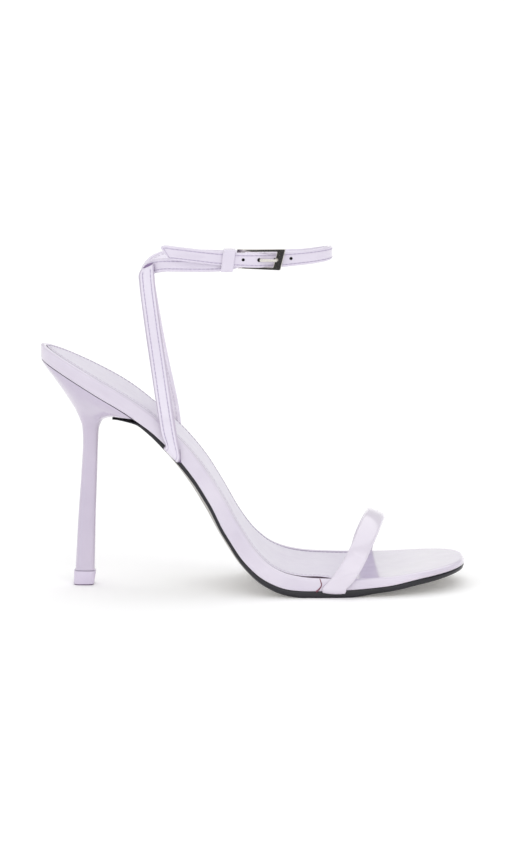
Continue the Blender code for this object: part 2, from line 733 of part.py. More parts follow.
def make_ankle_straps(risers, made_of, collection, helpers):
    """The ankle straps in one piece, with the slot and the hole that the prong passes."""
    straps = strap("ankle_straps", long_strap_path(), STRAP_THICKNESS, made_of, collection)
    short = strap("buckle_strap", buckle_strap_path(), STRAP_THICKNESS, None, helpers)
    for piece in (short, *risers):
        boolean(straps, piece, "UNION")
    slot_place = Matrix.Translation(hinge_centre() + HINGE_SLOT_SHIFT)
    slot = box("hinge_slot", HINGE_SLOT_SIZE, slot_place, helpers)
    boolean(straps, slot, "DIFFERENCE")
    shape = bmesh.new()
    hole_middle = strap_middle(LONG_STRAP, PRONG_HOLE_ANGLE)
    hole_middle.z = FRAME_HEIGHT
    bmesh.ops.create_cone(
        shape,
        cap_ends=True,
        segments=PRONG_HOLE_SEGMENTS,
        radius1=PRONG_HOLE_RADIUS * MM,
        radius2=PRONG_HOLE_RADIUS * MM,
        depth=2 * STRAP_THICKNESS * MM,
        matrix=Matrix.Translation(hole_middle * MM) @ Matrix.Rotation(math.pi / 2, 4, "X"),
    )
    mesh = bpy.data.meshes.new("prong_hole")
    shape.to_mesh(mesh)
    shape.free()
    boolean(straps, new_object("prong_hole", mesh, None, helpers), "DIFFERENCE")


def rounded(corners, radius):
    """A closed outline with its corners rounded, as points in a plane."""
    corners = [Vector(corner) for corner in corners]
    points = []
    for i, corner in enumerate(corners):
        to_before = (corners[i - 1] - corner).normalized()
        to_after = (corners[(i + 1) % len(corners)] - corner).normalized()
        start = corner + to_before * radius
        end = corner + to_after * radius
        for t in np.linspace(0, 1, CORNER_STEPS):
            points.append(start * (1 - t) ** 2 + corner * 2 * t * (1 - t) + end * t * t)
    return points


def make_keeper(made_of, collection):
    """Loop round both straps behind the buckle."""
    low_y, high_y = KEEPER_Y
    low_z, high_z = KEEPER_Z
    corners = ((low_y, low_z), (high_y, low_z), (high_y, high_z), (low_y, high_z))
    half = Vector((KEEPER_WIDTH / 2, 0, 0))
    path = [(Vector((KEEPER_X, y, z)), half) for y, z in rounded(corners, KEEPER_CORNER)]
    strap("strap_keeper", path, KEEPER_THICKNESS, made_of, collection, closed=True)


def make_frame(made_of, collection):
    """Flat buckle frame with a slanted front bar, on the hinge bar's middle."""
    curve = bpy.data.curves.new("buckle_frame", "CURVE")
    curve.dimensions = "2D"
    curve.fill_mode = "BOTH"
    curve.extrude = FRAME_THICKNESS / 2 * MM
    for corners in (FRAME_OUTER, FRAME_INNER):
        points = rounded(corners, FRAME_CORNER)
        spline = curve.splines.new("POLY")
        spline.points.add(len(points) - 1)
        for spot, point in zip(spline.points, points):
            spot.co = (point.x * MM, point.y * MM, 0, 1)
        spline.use_cyclic_u = True
    frame = new_object("buckle_frame", curve, made_of, collection)
    along = Vector((math.cos(FRAME_TURN), -math.sin(FRAME_TURN), 0))
    up = Vector((0, 0, 1))
    placed = axes_matrix(along, up, along.cross(up), hinge_centre() * MM)
    frame.matrix_world = placed


def prong_path():
    """Prong: hooked round the hinge bar, through the strap's hole and on to the front bar."""
    hinge = hinge_centre()
    points = []
    for turn in np.linspace(math.pi / 2, 3 * math.pi / 2, HINGE_FOLD_STEPS):
        points.append(hinge + Vector((math.cos(turn), math.sin(turn), 0)) * PRONG_HOOK_RADIUS)
    clear = STRAP_THICKNESS / 2 + SEAM + PRONG_RADIUS
    outward = float(smooth(LONG_STRAP, STRAP_COLUMNS, "outward", PRONG_HOLE_ANGLE))
    for offset in (-clear, clear):
        points.append(loop_point(PRONG_HOLE_ANGLE, FRAME_HEIGHT, outward + offset))
    along = (PRONG_TIP_X - hinge.x) / math.cos(FRAME_TURN)
    lift = FRAME_THICKNESS / 2 + SEAM + PRONG_RADIUS
    points.append(Vector((PRONG_TIP_X, hinge.y - along * math.sin(FRAME_TURN) - lift, FRAME_HEIGHT)))
    return points


def make_prong(made_of, collection):
    """Round wire along the prong's path."""
    curve = bpy.data.curves.new("buckle_prong", "CURVE")
    curve.dimensions = "3D"
    curve.bevel_depth = PRONG_RADIUS * MM
    curve.bevel_resolution = 2
    curve.use_fill_caps = True
    points = prong_path()
    spline = curve.splines.new("POLY")
    spline.points.add(len(points) - 1)
    for spot, point in zip(spline.points, points):
        spot.co = (*(point * MM), 1)
    new_object("buckle_prong", curve, made_of, collection)


def main():
    for obj in list(bpy.data.objects):
        bpy.data.objects.remove(obj, do_unlink=True)
    parts = bpy.data.collections.new("open_toe_high_heel")
    helpers = bpy.data.collections.new("cutters_and_joined_pieces")
    for collection in (parts, helpers):
        bpy.context.scene.collection.children.link(collection)

    rim = material("lilac_patent_rim", LILAC_RIM, 0.2)
    patent = material("lilac_patent_strap", LILAC_STRAP, 0.2)
    lining = material("lilac_sock", LILAC_SOCK, 0.3)
    covered = material("lilac_patent_heel", LILAC_HEEL, 0.2)
    painted = material("painted_sole_edge", SOLE_EDGE, 0.4)
    metal = material("polished_silver", SILVER, 0.15, 1.0)

    line = footbed_line()
    heel_run = np.interp(HEEL_ROUND_SHARE, line.share, line.along)
    toe_run = line.along[-1] - np.interp(1 - TOE_ROUND_SHARE, line.share, line.along)
    stations = line.stations(heel_run, toe_run)

    board = make_board(line, stations, rim, parts)
    make_sock(line, stations, lining, parts)
    sole = make_sole(line, toe_run, painted, parts)
    make_heel(line, covered, parts)
    make_lift(covered, parts)
    pockets = make_toe_strap(line, patent, parts, helpers)
    risers = []
    for name, side, top, inward in (
        ("lateral", -1, RISER[-1][0], 0.0),
        ("medial", 1, MEDIAL_RISER_TOP, MEDIAL_RISER_INWARD),
    ):
        riser, cutter = make_riser(name, side, top, inward, line, helpers)
        risers.append(riser)
        pockets.append(cutter)
    for cutter in pockets:
        boolean(board, cutter, "DIFFERENCE")
        boolean(sole, cutter, "DIFFERENCE")
    make_ankle_straps(risers, patent, parts, helpers)
    make_keeper(patent, parts)
    make_frame(metal, parts)
    make_prong(metal, parts)
    for helper in helpers.objects:
        helper.hide_render = True
        helper.display_type = "WIRE"


main()
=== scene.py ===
"""Looks of a lilac patent high-heeled sandal for the right foot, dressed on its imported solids.

+X runs to the toe, +Y to the inner side of the foot and +Z up. Sizes and tables are in millimetres.
"""

import math

import bmesh
import bpy
import numpy as np
from mathutils import Matrix, Vector


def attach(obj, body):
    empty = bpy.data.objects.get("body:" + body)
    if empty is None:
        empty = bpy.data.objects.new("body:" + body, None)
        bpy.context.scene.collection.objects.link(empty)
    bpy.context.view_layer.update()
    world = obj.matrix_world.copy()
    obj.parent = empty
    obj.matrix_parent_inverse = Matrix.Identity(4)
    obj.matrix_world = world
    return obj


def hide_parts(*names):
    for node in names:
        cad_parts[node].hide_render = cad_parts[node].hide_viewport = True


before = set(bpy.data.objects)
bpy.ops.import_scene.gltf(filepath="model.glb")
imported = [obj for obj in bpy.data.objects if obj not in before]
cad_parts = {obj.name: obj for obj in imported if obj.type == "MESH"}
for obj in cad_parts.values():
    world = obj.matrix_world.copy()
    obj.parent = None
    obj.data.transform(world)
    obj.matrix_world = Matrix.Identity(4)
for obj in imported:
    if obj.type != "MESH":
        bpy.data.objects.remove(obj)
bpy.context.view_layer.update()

MM = 0.001
UP = np.array((0.0, 0.0, 1.0))
SIDES = {"lateral": -1, "medial": 1}
SHARP_DEGREES = 40
STITCH_SHARP_DEGREES = 80


class Table:
    """Rows of sizes under named columns, read between the rows on a monotone cubic."""

    def __init__(self, columns, *rows):
        self.columns = columns.split()
        self.rows = np.array(rows)

    def dicts(self):
        return [dict(zip(self.columns, row)) for row in self.rows]

    def at(self, name, place):
        """One column at the given places in the first column."""
        x = self.rows[:, 0]
        y = self.rows[:, self.columns.index(name)]
        place = np.clip(np.asarray(place, float), x[0], x[-1])
        step = np.diff(x)
        slope = np.diff(y) / step
        tangent = np.concatenate((slope[:1], np.zeros(len(x) - 2), slope[-1:]))
        for i in range(1, len(x) - 1):
            if slope[i - 1] * slope[i] > 0:
                before = 2 * step[i] + step[i - 1]
                after = step[i] + 2 * step[i - 1]
                tangent[i] = (before + after) / (before / slope[i - 1] + after / slope[i])
        i = np.clip(np.searchsorted(x, place, side="right") - 1, 0, len(step) - 1)
        t = (place - x[i]) / step[i]
        return (
            y[i] * (1 + 2 * t) * (1 - t) ** 2
            + tangent[i] * step[i] * t * (1 - t) ** 2
            + y[i + 1] * t * t * (3 - 2 * t)
            + tangent[i + 1] * step[i] * t * t * (t - 1)
        )


# Driving sizes
LENGTH = 201.4
SEAT_HEIGHT = 116.4
BALL_WIDTH = 75.2
STRAP_THICKNESS = 1.9
TOE_STRAP_THICKNESS = 2.0
SEAM = 0.3

# Footbed sections from the back of the heel to the tip of the toe.
# station is a share of LENGTH, height of SEAT_HEIGHT, lateral and medial half widths of BALL_WIDTH,
# and board and sole are thicknesses.
FOOTBED = Table(
    "station height lateral medial board sole",
    (0.00, 1.005, 0.326, 0.326, 6.8, 0.9),
    (0.07, 0.942, 0.326, 0.326, 7.0, 0.9),
    (0.14, 0.876, 0.326, 0.326, 7.2, 0.9),
    (0.21, 0.805, 0.319, 0.319, 7.2, 1.1),
    (0.28, 0.714, 0.297, 0.283, 7.0, 1.7),
    (0.34, 0.618, 0.312, 0.277, 7.2, 2.3),
    (0.39, 0.513, 0.332, 0.283, 7.2, 2.6),
    (0.43, 0.402, 0.332, 0.293, 7.2, 2.7),
    (0.47, 0.279, 0.346, 0.312, 7.8, 2.2),
    (0.51, 0.183, 0.432, 0.379, 7.75, 2.25),
    (0.55, 0.124, 0.483, 0.443, 7.45, 2.55),
    (0.59, 0.096, 0.500, 0.481, 7.25, 2.75),
    (0.64, 0.082, 0.500, 0.500, 6.3, 3.2),
    (0.72, 0.078, 0.492, 0.500, 5.5, 3.5),
    (0.81, 0.081, 0.467, 0.482, 4.5, 2.4),
    (0.90, 0.095, 0.435, 0.450, 3.1, 2.4),
    (1.00, 0.113, 0.412, 0.425, 2.6, 1.6),
)
LINE_SAMPLES = 400
HEEL_ROUND_SHARE = 0.187
HEEL_ROUND_POWER = 1.75
TOE_ROUND_SHARE = 0.197
TOE_ROUND_POWER = {"lateral": 2.2, "medial": 3.0}
WALL_UPRIGHT_UNTIL = 0.20
WALL_SQUARE_FROM = 0.33
END_STEPS = 26
END_START = math.radians(2.5)
STATION_SPACING = 1.6

# Rim of the footbed, and the sock that lies inside it.
# SOCK_EDGE is how far the sock's top stands above the footbed along either edge.
RIM_FOOT_ROUND = 0.6
RIM_ROLL = 1.7
RIM_BULGE = 0.15
RIM_WIDTH = 3.0
RIM_INNER_ROLL = 0.9
RIM_STEPS = {"foot": 4, "wall": 8, "roll": 9, "inner": 6}
RECESS_STEP = 0.1
FULL_RECESS = 0.99
CREASE_SHADE_LEVELS = 3
SOCK_THICKNESS = 1.1
SOCK_FRONT = {"lateral": 0.708, "medial": 0.742}
SOCK_SLANT_FROM = 0.55
SOCK_RAMP = 0.008
SOCK_SHORT_OF_RAMP = 2.0
SOCK_EDGE_ROUND = 0.35
SOCK_ROUND_STEPS = 5
SOCK_EDGE = Table(
    "station lateral medial",
    (0.00, 0.10, 0.10),
    (0.40, 0.10, 0.00),
    (0.55, 0.20, -0.20),
    (0.60, 0.35, -0.45),
    (0.62, 0.55, -0.45),
    (0.655, 0.95, -0.45),
    (0.676, 0.60, -0.45),
    (0.690, 0.15, -0.45),
    (0.74, 0.00, -0.30),
)
# The sock's edge is painted dark as the shade in its gap to the rim: on the lateral side from
# SOCK_DARK_FROM, and round the heel's back until SOCK_DARK_UNTIL.
SOCK_DARK_FROM = 0.56
SOCK_DARK_UNTIL = 0.07
# The medial stitches take a darker copy of the sock's thread: painted shade of the gap along that edge.
SOCK_STITCHES = {"lateral": (1.7, "sock_thread"), "medial": (0.9, "far_sock_thread_painted_shade")}
FOOTBED_COLUMNS_ACROSS = 10

# Sole. SOLE_EDGE is the height of its painted edge at the waist, and SOLE_EDGE_LEVELS the steps down
# that edge: how far they lie inside SOLE_INSET, and their share of the edge's height.
SOLE_INSET = 0.3
SOLE_TONGUE_X = -67.0
SOLE_TONGUE_TOP = 82.25
SOLE_TONGUE_NARROWING = 0.38
SOLE_TONGUE_RUN = 12.0
SOLE_TONGUE_BLEND = 0.8
SOLE_TONGUE_TIP = 0.2
SOLE_TONGUE_TAPER = 19.0
SOLE_EDGE = Table(
    "station edge",
    (0.16, 0.80),
    (0.23, 1.50),
    (0.28, 1.75),
    (0.34, 1.70),
    (0.40, 1.45),
    (0.47, 1.30),
    (0.60, 1.30),
)
SOLE_EDGE_SHARE = 0.8
SOLE_EDGE_LEVELS = ((0.25, 0.0), (0.05, 0.15), (0.0, 0.4), (0.0, 0.8), (0.12, 1.0))
SOLE_BEVEL_AT_WAIST = 3.2
SOLE_BEVEL_AT_BALL = 0.5
SOLE_BEVEL_POWER = 1.5
SOLE_WAIST_END = 0.50
SOLE_BALL_START = 0.60
SOLE_BEVEL_STEPS = 12
SOLE_PAINT_GROWS = (0.47, 0.56)

# Heel sections from the foot of the stem to the cup under the seat.
# back and front are the section's ends in side view, width its half width, widest the share of its
# length from the back where it is widest, and the two rounds the exponents of its curved ends.
HEEL = Table(
    "rise back_x back_z front_x front_z width widest back_round front_round",
    (0.00, -84.3, 7.1, -75.0, 7.1, 4.8, 0.50, 3.6, 4.0),
    (0.20, -82.8, 35.0, -74.4, 35.0, 4.5, 0.50, 3.6, 4.0),
    (0.35, -81.5, 53.5, -73.8, 53.5, 4.4, 0.50, 3.6, 4.0),
    (0.48, -80.7, 69.5, -73.3, 69.5, 4.6, 0.50, 3.4, 4.0),
    (0.55, -81.0, 75.7, -73.0, 74.8, 5.3, 0.50, 3.0, 4.0),
    (0.64, -83.3, 82.7, -71.9, 78.6, 7.6, 0.52, 2.6, 4.0),
    (0.75, -87.8, 90.5, -69.6, 81.4, 12.5, 0.58, 2.3, 4.5),
    (0.88, -94.2, 99.8, -63.5, 83.0, 19.3, 0.70, 2.0, 6.0),
    (0.97, -99.2, 106.6, -57.0, 83.1, 23.4, 0.80, 1.8, 8.0),
    (1.00, -100.4, 108.6, -55.2, 82.9, 24.1, 0.82, 1.75, 9.0),
)
HEEL_LEVELS = 110
HEEL_LEVEL_SPREAD = 0.8
HEEL_SIDE_STEPS = 30
HEEL_RING_START = math.radians(2.5)
HEEL_COLUMNS_ACROSS = 6

# Wear piece under the heel
LIFT = Table(
    "height back_x front_x width",
    (0.0, -84.7, -75.9, 4.6),
    (0.2, -84.95, -75.6, 4.9),
    (0.6, -85.1, -75.4, 5.1),
    (3.4, -85.0, -74.95, 5.15),
    (6.2, -84.9, -74.5, 5.2),
    (6.6, -84.75, -74.6, 5.05),
    (6.8, -84.5, -74.9, 4.8),
)
LIFT_ROUND = 5.0
LIFT_WIDEST = 0.5
LIFT_FOOT_LEVELS = 2

# Toe strap: an arch from the lateral to the medial edge of the footbed.
# turn is the angle round the arch, x its middle, half the reach of its width along X, and dip how far
# its front edge hangs below its middle.
TOE_ARCH_FOOT = 8.2
TOE_ARCH_HEIGHT = 25.2
TOE_ARCH = Table(
    "turn x half dip",
    (0.0, 42.2, 5.8, 0.25),
    (20.0, 48.0, 5.35, 0.54),
    (40.0, 52.2, 4.75, 1.00),
    (60.0, 55.4, 4.7, 1.42),
    (80.0, 57.8, 4.4, 1.67),
    (90.0, 58.6, 4.3, 1.70),
    (110.0, 58.6, 4.2, 1.57),
    (130.0, 57.3, 4.3, 1.22),
    (150.0, 55.1, 4.7, 0.76),
    (165.0, 53.3, 5.0, 0.45),
    (180.0, 51.9, 5.3, 0.25),
)
TOE_FOOT_TURNS = {"lateral": 0.0, "medial": 180.0}
TOE_FOOT_SLOPES = {"lateral": 1.0, "medial": 0.25}
TOE_ARCH_STEPS = 120
TOE_SPACING = 0.6
TOE_SOFTENING = 3
TOE_RIM_PASSED = 5.5
TOE_TUCK = 5.5
TOE_CREASES = Table(
    "along slant depth width",
    (15.0, 0.55, 0.16, 0.8),
    (18.5, 0.35, 0.10, 0.6),
    (26.5, -0.45, 0.14, 0.9),
    (88.0, 0.40, 0.12, 0.8),
    (97.0, -0.50, 0.16, 0.8),
)
PASSED_STEPS = 5
FOLD_STEPS = 12
FOLD_RADIUS = 1.5

# Ankle straps: two risers from the waist, and a loop round the ankle.
# A riser's ends are its top's height, how far that lies inward and back, and how far its foot is forward.
RISER_STATION = 0.338
RISER_FOOT_DROP = 0.7
RISER_WIDTH = 7.5
RISER_FOOT_WIDTH = 10.0
RISER_TUCK = 6.0
RISER_RIM_PASSED = (-1.2, 0.5)
RISER = Table(
    "height x across",
    (76.5, -39.5, 24.6),
    (83.0, -40.5, 24.4),
    (100.0, -43.2, 21.3),
    (130.0, -47.7, 16.4),
    (148.0, -50.0, 12.7),
    (155.6, -50.6, 12.3),
)
RISER_ENDS = {"lateral": (155.6, 0.0, 0.0, 0.0), "medial": (151.5, 1.7, 0.6, 1.4)}
RISER_FORWARD_UNTIL = 0.6
RISER_BACK_SPAN = (0.45, 0.95)
RISER_STEPS = 60
RISER_SPACING = 0.8
RISER_SOFTENING = 4
RISER_LEAN = 0.12
RISER_TOP_SLANT = 0.50
RISER_SLANT_RUN = 7.0
RISER_TOP_ROUND = 0.20
RISER_TOP_ROUND_RUN = 4.0
RISER_GAPE = 0.28
RISER_GAPE_HEIGHTS = (70.0, 82.0, 118.0)

# The loop is measured by its angle from the back of the ankle, growing towards the inner side.
# outward is the distance of a strap's middle from the loop's own surface.
LOOP_CENTRE_X = -6.45
LOOP_BACK_LENGTH = 44.35
LOOP_FRONT_LENGTH = 43.3
LOOP_HALF_WIDTH = 20.0
LOOP_POWER = 2.3
LOOP_STEP = 1.5
LONG_STRAP = Table(
    "angle height outward width",
    (-20.0, 147.7, 1.1, 7.3),
    (0.0, 148.9, 1.1, 7.3),
    (14.0, 150.6, 0.95, 7.3),
    (23.0, 152.5, 0.65, 7.3),
    (29.0, 153.8, 0.4, 7.3),
    (43.0, 155.1, 0.15, 7.3),
    (68.0, 154.6, 0.35, 7.3),
    (90.0, 154.0, 0.6, 7.3),
    (128.0, 155.3, 0.6, 7.4),
    (160.0, 158.5, 0.3, 6.9),
    (180.0, 160.3, 0.1, 6.6),
    (205.0, 160.7, 0.0, 6.8),
    (230.0, 160.4, 0.0, 7.0),
    (251.0, 159.95, 0.0, 7.2),
    (260.0, 160.1, 1.2, 7.2),
    (270.0, 160.5, 2.35, 7.0),
    (276.0, 160.95, 2.35, 6.9),
    (283.0, 161.45, 2.4, 6.8),
    (292.0, 162.1, 2.4, 6.7),
    (300.0, 162.6, 2.45, 6.7),
    (317.0, 163.3, 2.6, 6.7),
)
TAIL_SLANT = 0.85
TAIL_SLANT_RUN = 6.0
TAIL_ROUND = 0.22
TAIL_ROUND_RUN = 2.6
BUCKLE_STRAP = Table(
    "angle height outward width",
    (-90.0, 160.0, 0.0, 7.0),
    (-84.0, 158.2, 0.0, 6.9),
    (-68.0, 157.45, 0.0, 6.8),
    (-62.0, 157.3, 0.0, 6.7),
    (-43.0, 156.75, 0.0, 6.6),
    (-28.0, 155.4, 0.0, 6.7),
    (-14.0, 152.9, 0.0, 7.0),
    (0.0, 148.9, 0.0, 7.3),
    (14.0, 146.4, 0.0, 7.3),
    (21.0, 145.6, 0.0, 7.3),
)

# Section of a strap: rounded edges, a slight crown, and a groove along each line of stitches
STRAP_EDGE_ROUND = 0.75
STRAP_CROWN = 0.12
TOE_STRAP_CROWN = 0.55
STITCH_INSETS = {"long_strap": 1.25, "buckle_strap": 1.5, "riser_lateral": 1.9, "riser_medial": 1.9}
STITCH_GROOVE = 0.12
STITCH_GROOVE_WIDTH = 0.4
GROOVE_AT = (-0.6, -0.25, 0.25, 0.6)
INNER_STEPS = 8
WELT_STEPS = 3
FACE_STEPS = 2 * (INNER_STEPS - 1 + len(GROOVE_AT) + WELT_STEPS) + 1
EDGE_STEPS = 7
END_ROUND_STEPS = 5
END_THINNEST = 0.02
STITCH_PITCH = 2.1
STITCH_LENGTH = 1.5
STITCH_RADIUS = 0.2
STITCH_RINGS = 6
STITCH_SIDES = 6
STITCH_END = 0.12
STITCH_FULLNESS = 0.6
STITCH_RISE = {"strap": 0.4, "end": 0.3, "sock": 0.2}
RISER_STITCH_START = 2.0
LOOP_STITCH_START = 1.2

# Painted shadow in the openings at the lateral riser: dark tubes over its end, as the share of its width,
# and at the front of its foot
RISER_GAP_SPAN = (-0.75, 0.85)
RISER_GAP_RISE = 0.35
RISER_GAP_OUT = 0.2
RISER_GAP_RADIUS = 0.7
RISER_GAP_START = 0.05
RISER_SLIT = ((-32.0, 0.45), (-30.3, 0.75), (-28.6, 1.05))
RISER_SLIT_RADII = (0.16, 0.36)

# Buckle: hinge bar, frame in its own plane from that bar, and prong
HINGE_ANGLE = -90.0
HINGE_INWARD = 2.35
HINGE_FOLD_STEPS = 20
HINGE_SLOT_HEIGHT = 2.2
HINGE_TAB_LEAD = 1.5
FRAME_HEIGHT = 160.8
FRAME_TURN = math.radians(11.3)
FRAME_BEND = 0.013
FRAME_BEND_FROM = 7.0
FRAME_SIDE_STEPS = 20
FRAME_EDGE_STEPS = 4
FRAME_THICKNESS = 1.6
FRAME_OUTER = ((-0.75, -5.1), (20.4, -5.2), (22.9, 5.0), (-0.75, 4.1))
FRAME_INNER = ((0.75, -4.1), (16.8, -4.1), (18.9, 3.7), (0.75, 2.8))
FRAME_CORNER = 0.6
FRAME_EDGE_ROUND = 0.16
FRAME_FACE_START = 1.5
CORNER_STEPS = 8
PRONG_RADIUS = 0.88
PRONG_TIP_SHARE = 0.7
PRONG_FORWARD = 0.7
PRONG_HEIGHT = 160.4
PRONG_HOLE_ANGLE = 259.75
PRONG_HOOK_RADIUS = 1.85
PRONG_TIP_X = 11.6

# Holes along the long strap. HOLE_SEARCH is the span of angles they lie in and its number of samples, and
# HOLE_FLOOR the rings of the dark plug of painted shade in a hole: their place in the strap, and their share
# of its radius.
HOLE_PITCH = 7.75
HOLE_RADIUS = 0.78
PRONG_HOLE_RADIUS = 0.98
HOLES_AHEAD = 2
HOLE_RAISE = 0.3
HOLE_SIDES = 24
HOLE_SEARCH = (200, 290, 400)
HOLE_FLOOR = ((-0.25, 1.0), (0.0, 0.2), (0.25, 1.0))
HOLE_FLOOR_SPARE = 0.1

# Keeper that holds the tail
KEEPER_X = -11.5
KEEPER_WIDTH = 5.9
KEEPER_TILT = 0.13
KEEPER_THICKNESS = 1.0
KEEPER_Y = (-24.05, -18.3)
KEEPER_Z = (155.4, 165.0)
KEEPER_CORNER = 1.0
KEEPER_EDGE_ROUND = 0.45
KEEPER_CROWN = 0.15

# Raw edge in the rim's cover, just behind the toe strap: x, and the depth as a share of the rim's wall
RIM_SEAM = ((30.6, 1.02), (31.8, 0.84), (32.8, 0.60), (33.0, 0.42), (32.6, 0.24), (32.2, 0.06), (32.0, 0.02))
RIM_SEAM_STEPS = 14
RIM_SEAM_RADII = (0.42, 0.16)
TUBE_STEPS = 4

# Finishes: a light and a deep colour with red, green and blue from 0 to 255, roughness, and leather's grain
PATENTS = (
    ("patent_rim", (219, 212, 225), (208, 200, 216), 0.16),
    ("patent_forefoot", (218, 212, 222), (208, 200, 216), 0.2),
    ("patent_toe_strap", (221, 214, 226), (219, 212, 225), 0.2),
    ("patent_strap", (221, 214, 229), (213, 205, 222), 0.16),
    # The risers' patent is a lighter copy of the straps' patent: painted light.
    ("patent_riser_painted_light", (225, 219, 233), (221, 214, 229), 0.16),
    # The lateral riser's darker edges: partly edge paint, partly painted shade along its side.
    ("strap_edge", (194, 184, 203), (184, 173, 193), 0.3),
    # The heel's patent is a darker copy of the patent: painted shade under the seat.
    ("patent_heel", (202, 192, 210), (192, 182, 202), 0.12),
)
LEATHERS = (
    ("sock_leather", (219, 214, 226), (215, 209, 222), 0.35, 0.7),
    # Painted shade: the near-black colour of the sock's edge where its gap to the rim is shaded.
    ("sock_edge_painted_shade", (92, 72, 88), (70, 54, 68), 0.7, 0.4),
    # Painted shade: the dark crease colour where rim and sock meet.
    ("crease_painted_shade", (168, 155, 176), (150, 136, 158), 0.6, 0.4),
    ("strap_lining", (246, 243, 253), (223, 215, 227), 0.4, 0.5),
    ("toe_strap_lining", (225, 216, 240), (199, 190, 215), 0.5, 0.5),
    ("stitch_shade", (202, 192, 214), (194, 183, 207), 0.4, 0.4),
    ("raw_edge", (138, 84, 98), (104, 60, 74), 0.7, 0.4),
    # Painted shadow: the colour of the dark tubes in the openings at the lateral riser.
    ("opening_painted_shadow", (136, 117, 152), (112, 94, 128), 0.8, 0.4),
    ("painted_edge", (26, 24, 33), (18, 17, 24), 0.35, 1.2),
    ("sole_leather", (182, 180, 178), (172, 167, 160), 0.5, 0.8),
    ("lift_rubber", (213, 203, 222), (208, 198, 218), 0.4, 0.6),
    ("lift_foot", (120, 104, 128), (104, 90, 112), 0.6, 0.6),
    # Painted shade: the black of the plugs inside the holes.
    ("hole_painted_shade", (22, 18, 24), (14, 11, 15), 0.9, 0.3),
    ("flag_cloth", (16, 16, 18), (10, 10, 12), 0.9, 3.0),
)
THREADS = (
    ("strap_thread", (190, 180, 204)),
    ("lining_thread", (222, 214, 228)),
    ("sock_thread", (214, 207, 221)),
    ("far_sock_thread_painted_shade", (168, 156, 180)),
)
THREAD_DEEPER = 12
SILVER = (226, 222, 214)
SILVER_DEEP = (206, 203, 200)
NOISE_SPAN = (0.3, 0.7)

# Noise in the finishes: the size of its clouds in millimetres, the spread of the roughness as a share of
# itself, and relief as the size and height of its features
PATENT_CLOUDS = 26.0
PATENT_GLOSS_CLOUDS = 9.0
PATENT_GLOSS_SPREAD = (0.8, 1.3)
PATENT_WAVES = (11.0, 0.06)
PATENT_PORES = (0.9, 0.006)
PATENT_COAT = 0.7
PATENT_COAT_ROUGHNESS = 0.06
LEATHER_CLOUDS = 14.0
LEATHER_ROUGH_CLOUDS = 4.0
LEATHER_SPREAD = (0.85, 1.15)
GRAIN_HEIGHT = 0.03
SILVER_CLOUDS = 6.0
SILVER_BRUSHING = (1, 1, 6)
SILVER_BRUSH_MARKS = 2.0
SILVER_BASE_ROUGHNESS = 0.1
SILVER_ROUGHNESS = (0.03, 0.07)
THREAD_ROUGHNESS = 0.55
THREAD_CLOUDS = 0.8
THREAD_TWIST = (0.25, 0.02)

# Finishes of a strap without stitches: outside, inside, stitch lines and edges
PLAIN_STRAP = ("patent_strap", "strap_lining", "patent_strap", "patent_strap")

# Stage: floor, a black flag that the buckle's face mirrors, and the brightness of the studio by height.
# A lamp has its place, power and the width of its light in degrees.
FLOOR_SIZE = 40
FLOOR_COLOUR = (0.96, 0.96, 0.96, 1)
FLOOR_ROUGHNESS = 0.9
FLOOR_SPECULAR = 0.1
FLOOR_GLOW = 0.09
FLAG_PLACE = (-0.39, -0.84, 0.001)
FLAG_SCALE = (0.31, 0.44, 1)
STUDIO_STOPS = ((0.0, 1.0), (0.05, 1.0), (0.22, 0.82), (0.45, 0.45), (0.75, 0.5))
STUDIO_STRENGTH = 1.13
LAMPS = (
    ("key", (0.3, -0.9, 0.8), 0.68, 55.0),
    ("fill", (-0.9, -0.8, 0.5), 0.34, 60.0),
    ("top", (0.0, 0.55, 1.25), 0.90, 65.0),
)

# Camera: far away with a long lens, as the photograph shows hardly any perspective
IMAGE_HEIGHT = 864
PIXEL = 0.476
CAMERA_DISTANCE = 10.0
CAMERA_ELEVATION = math.radians(10.49)
CAMERA_TARGET = (0.07, 0.0, 73.4)
CAMERA_REACH = 100
SENSOR = 36.0

FINISH = {}


def ease(value, low, high):
    """0 below low, 1 above high, and a smooth rise between them."""
    t = np.clip((np.asarray(value, float) - low) / (high - low), 0, 1)
    return t * t * (3 - 2 * t)


def unit(vectors):
    """Vectors scaled to length 1."""
    vectors = np.asarray(vectors, float)
    return vectors / np.linalg.norm(vectors, axis=-1, keepdims=True)


def run(points):
    """Distance along a course at each of its points."""
    return np.concatenate(([0.0], np.cumsum(np.linalg.norm(np.diff(points, axis=0), axis=1))))


def sampled(at, runs, values):
    """Rows of values at distances along a course."""
    return np.column_stack([np.interp(at, runs, column) for column in values.T])


def quarter(steps):
    """Sines and cosines at steps through a quarter turn."""
    turn = np.linspace(0, math.pi / 2, steps)
    return list(zip(np.sin(turn), np.cos(turn)))


def curved(values, power):
    """Values from -1 to 1 bent to the curve of a given exponent."""
    return np.sign(values) * np.abs(values) ** (2 / power)


def rounded_end(distance, reach, power):
    """Share of the full half width at a distance from a rounded end of the plan."""
    far = np.clip(1 - np.asarray(distance, float) / reach, 0, 1)
    return (1 - far**power) ** (1 / power)


def inset(outline, distance):
    """The closed outline moved inwards along its own normals."""
    edge = np.roll(outline, -1, axis=0) - np.roll(outline, 1, axis=0)
    normal = unit(np.column_stack((-edge[:, 1], edge[:, 0])))
    return outline + normal * np.broadcast_to(distance, len(outline))[:, None]


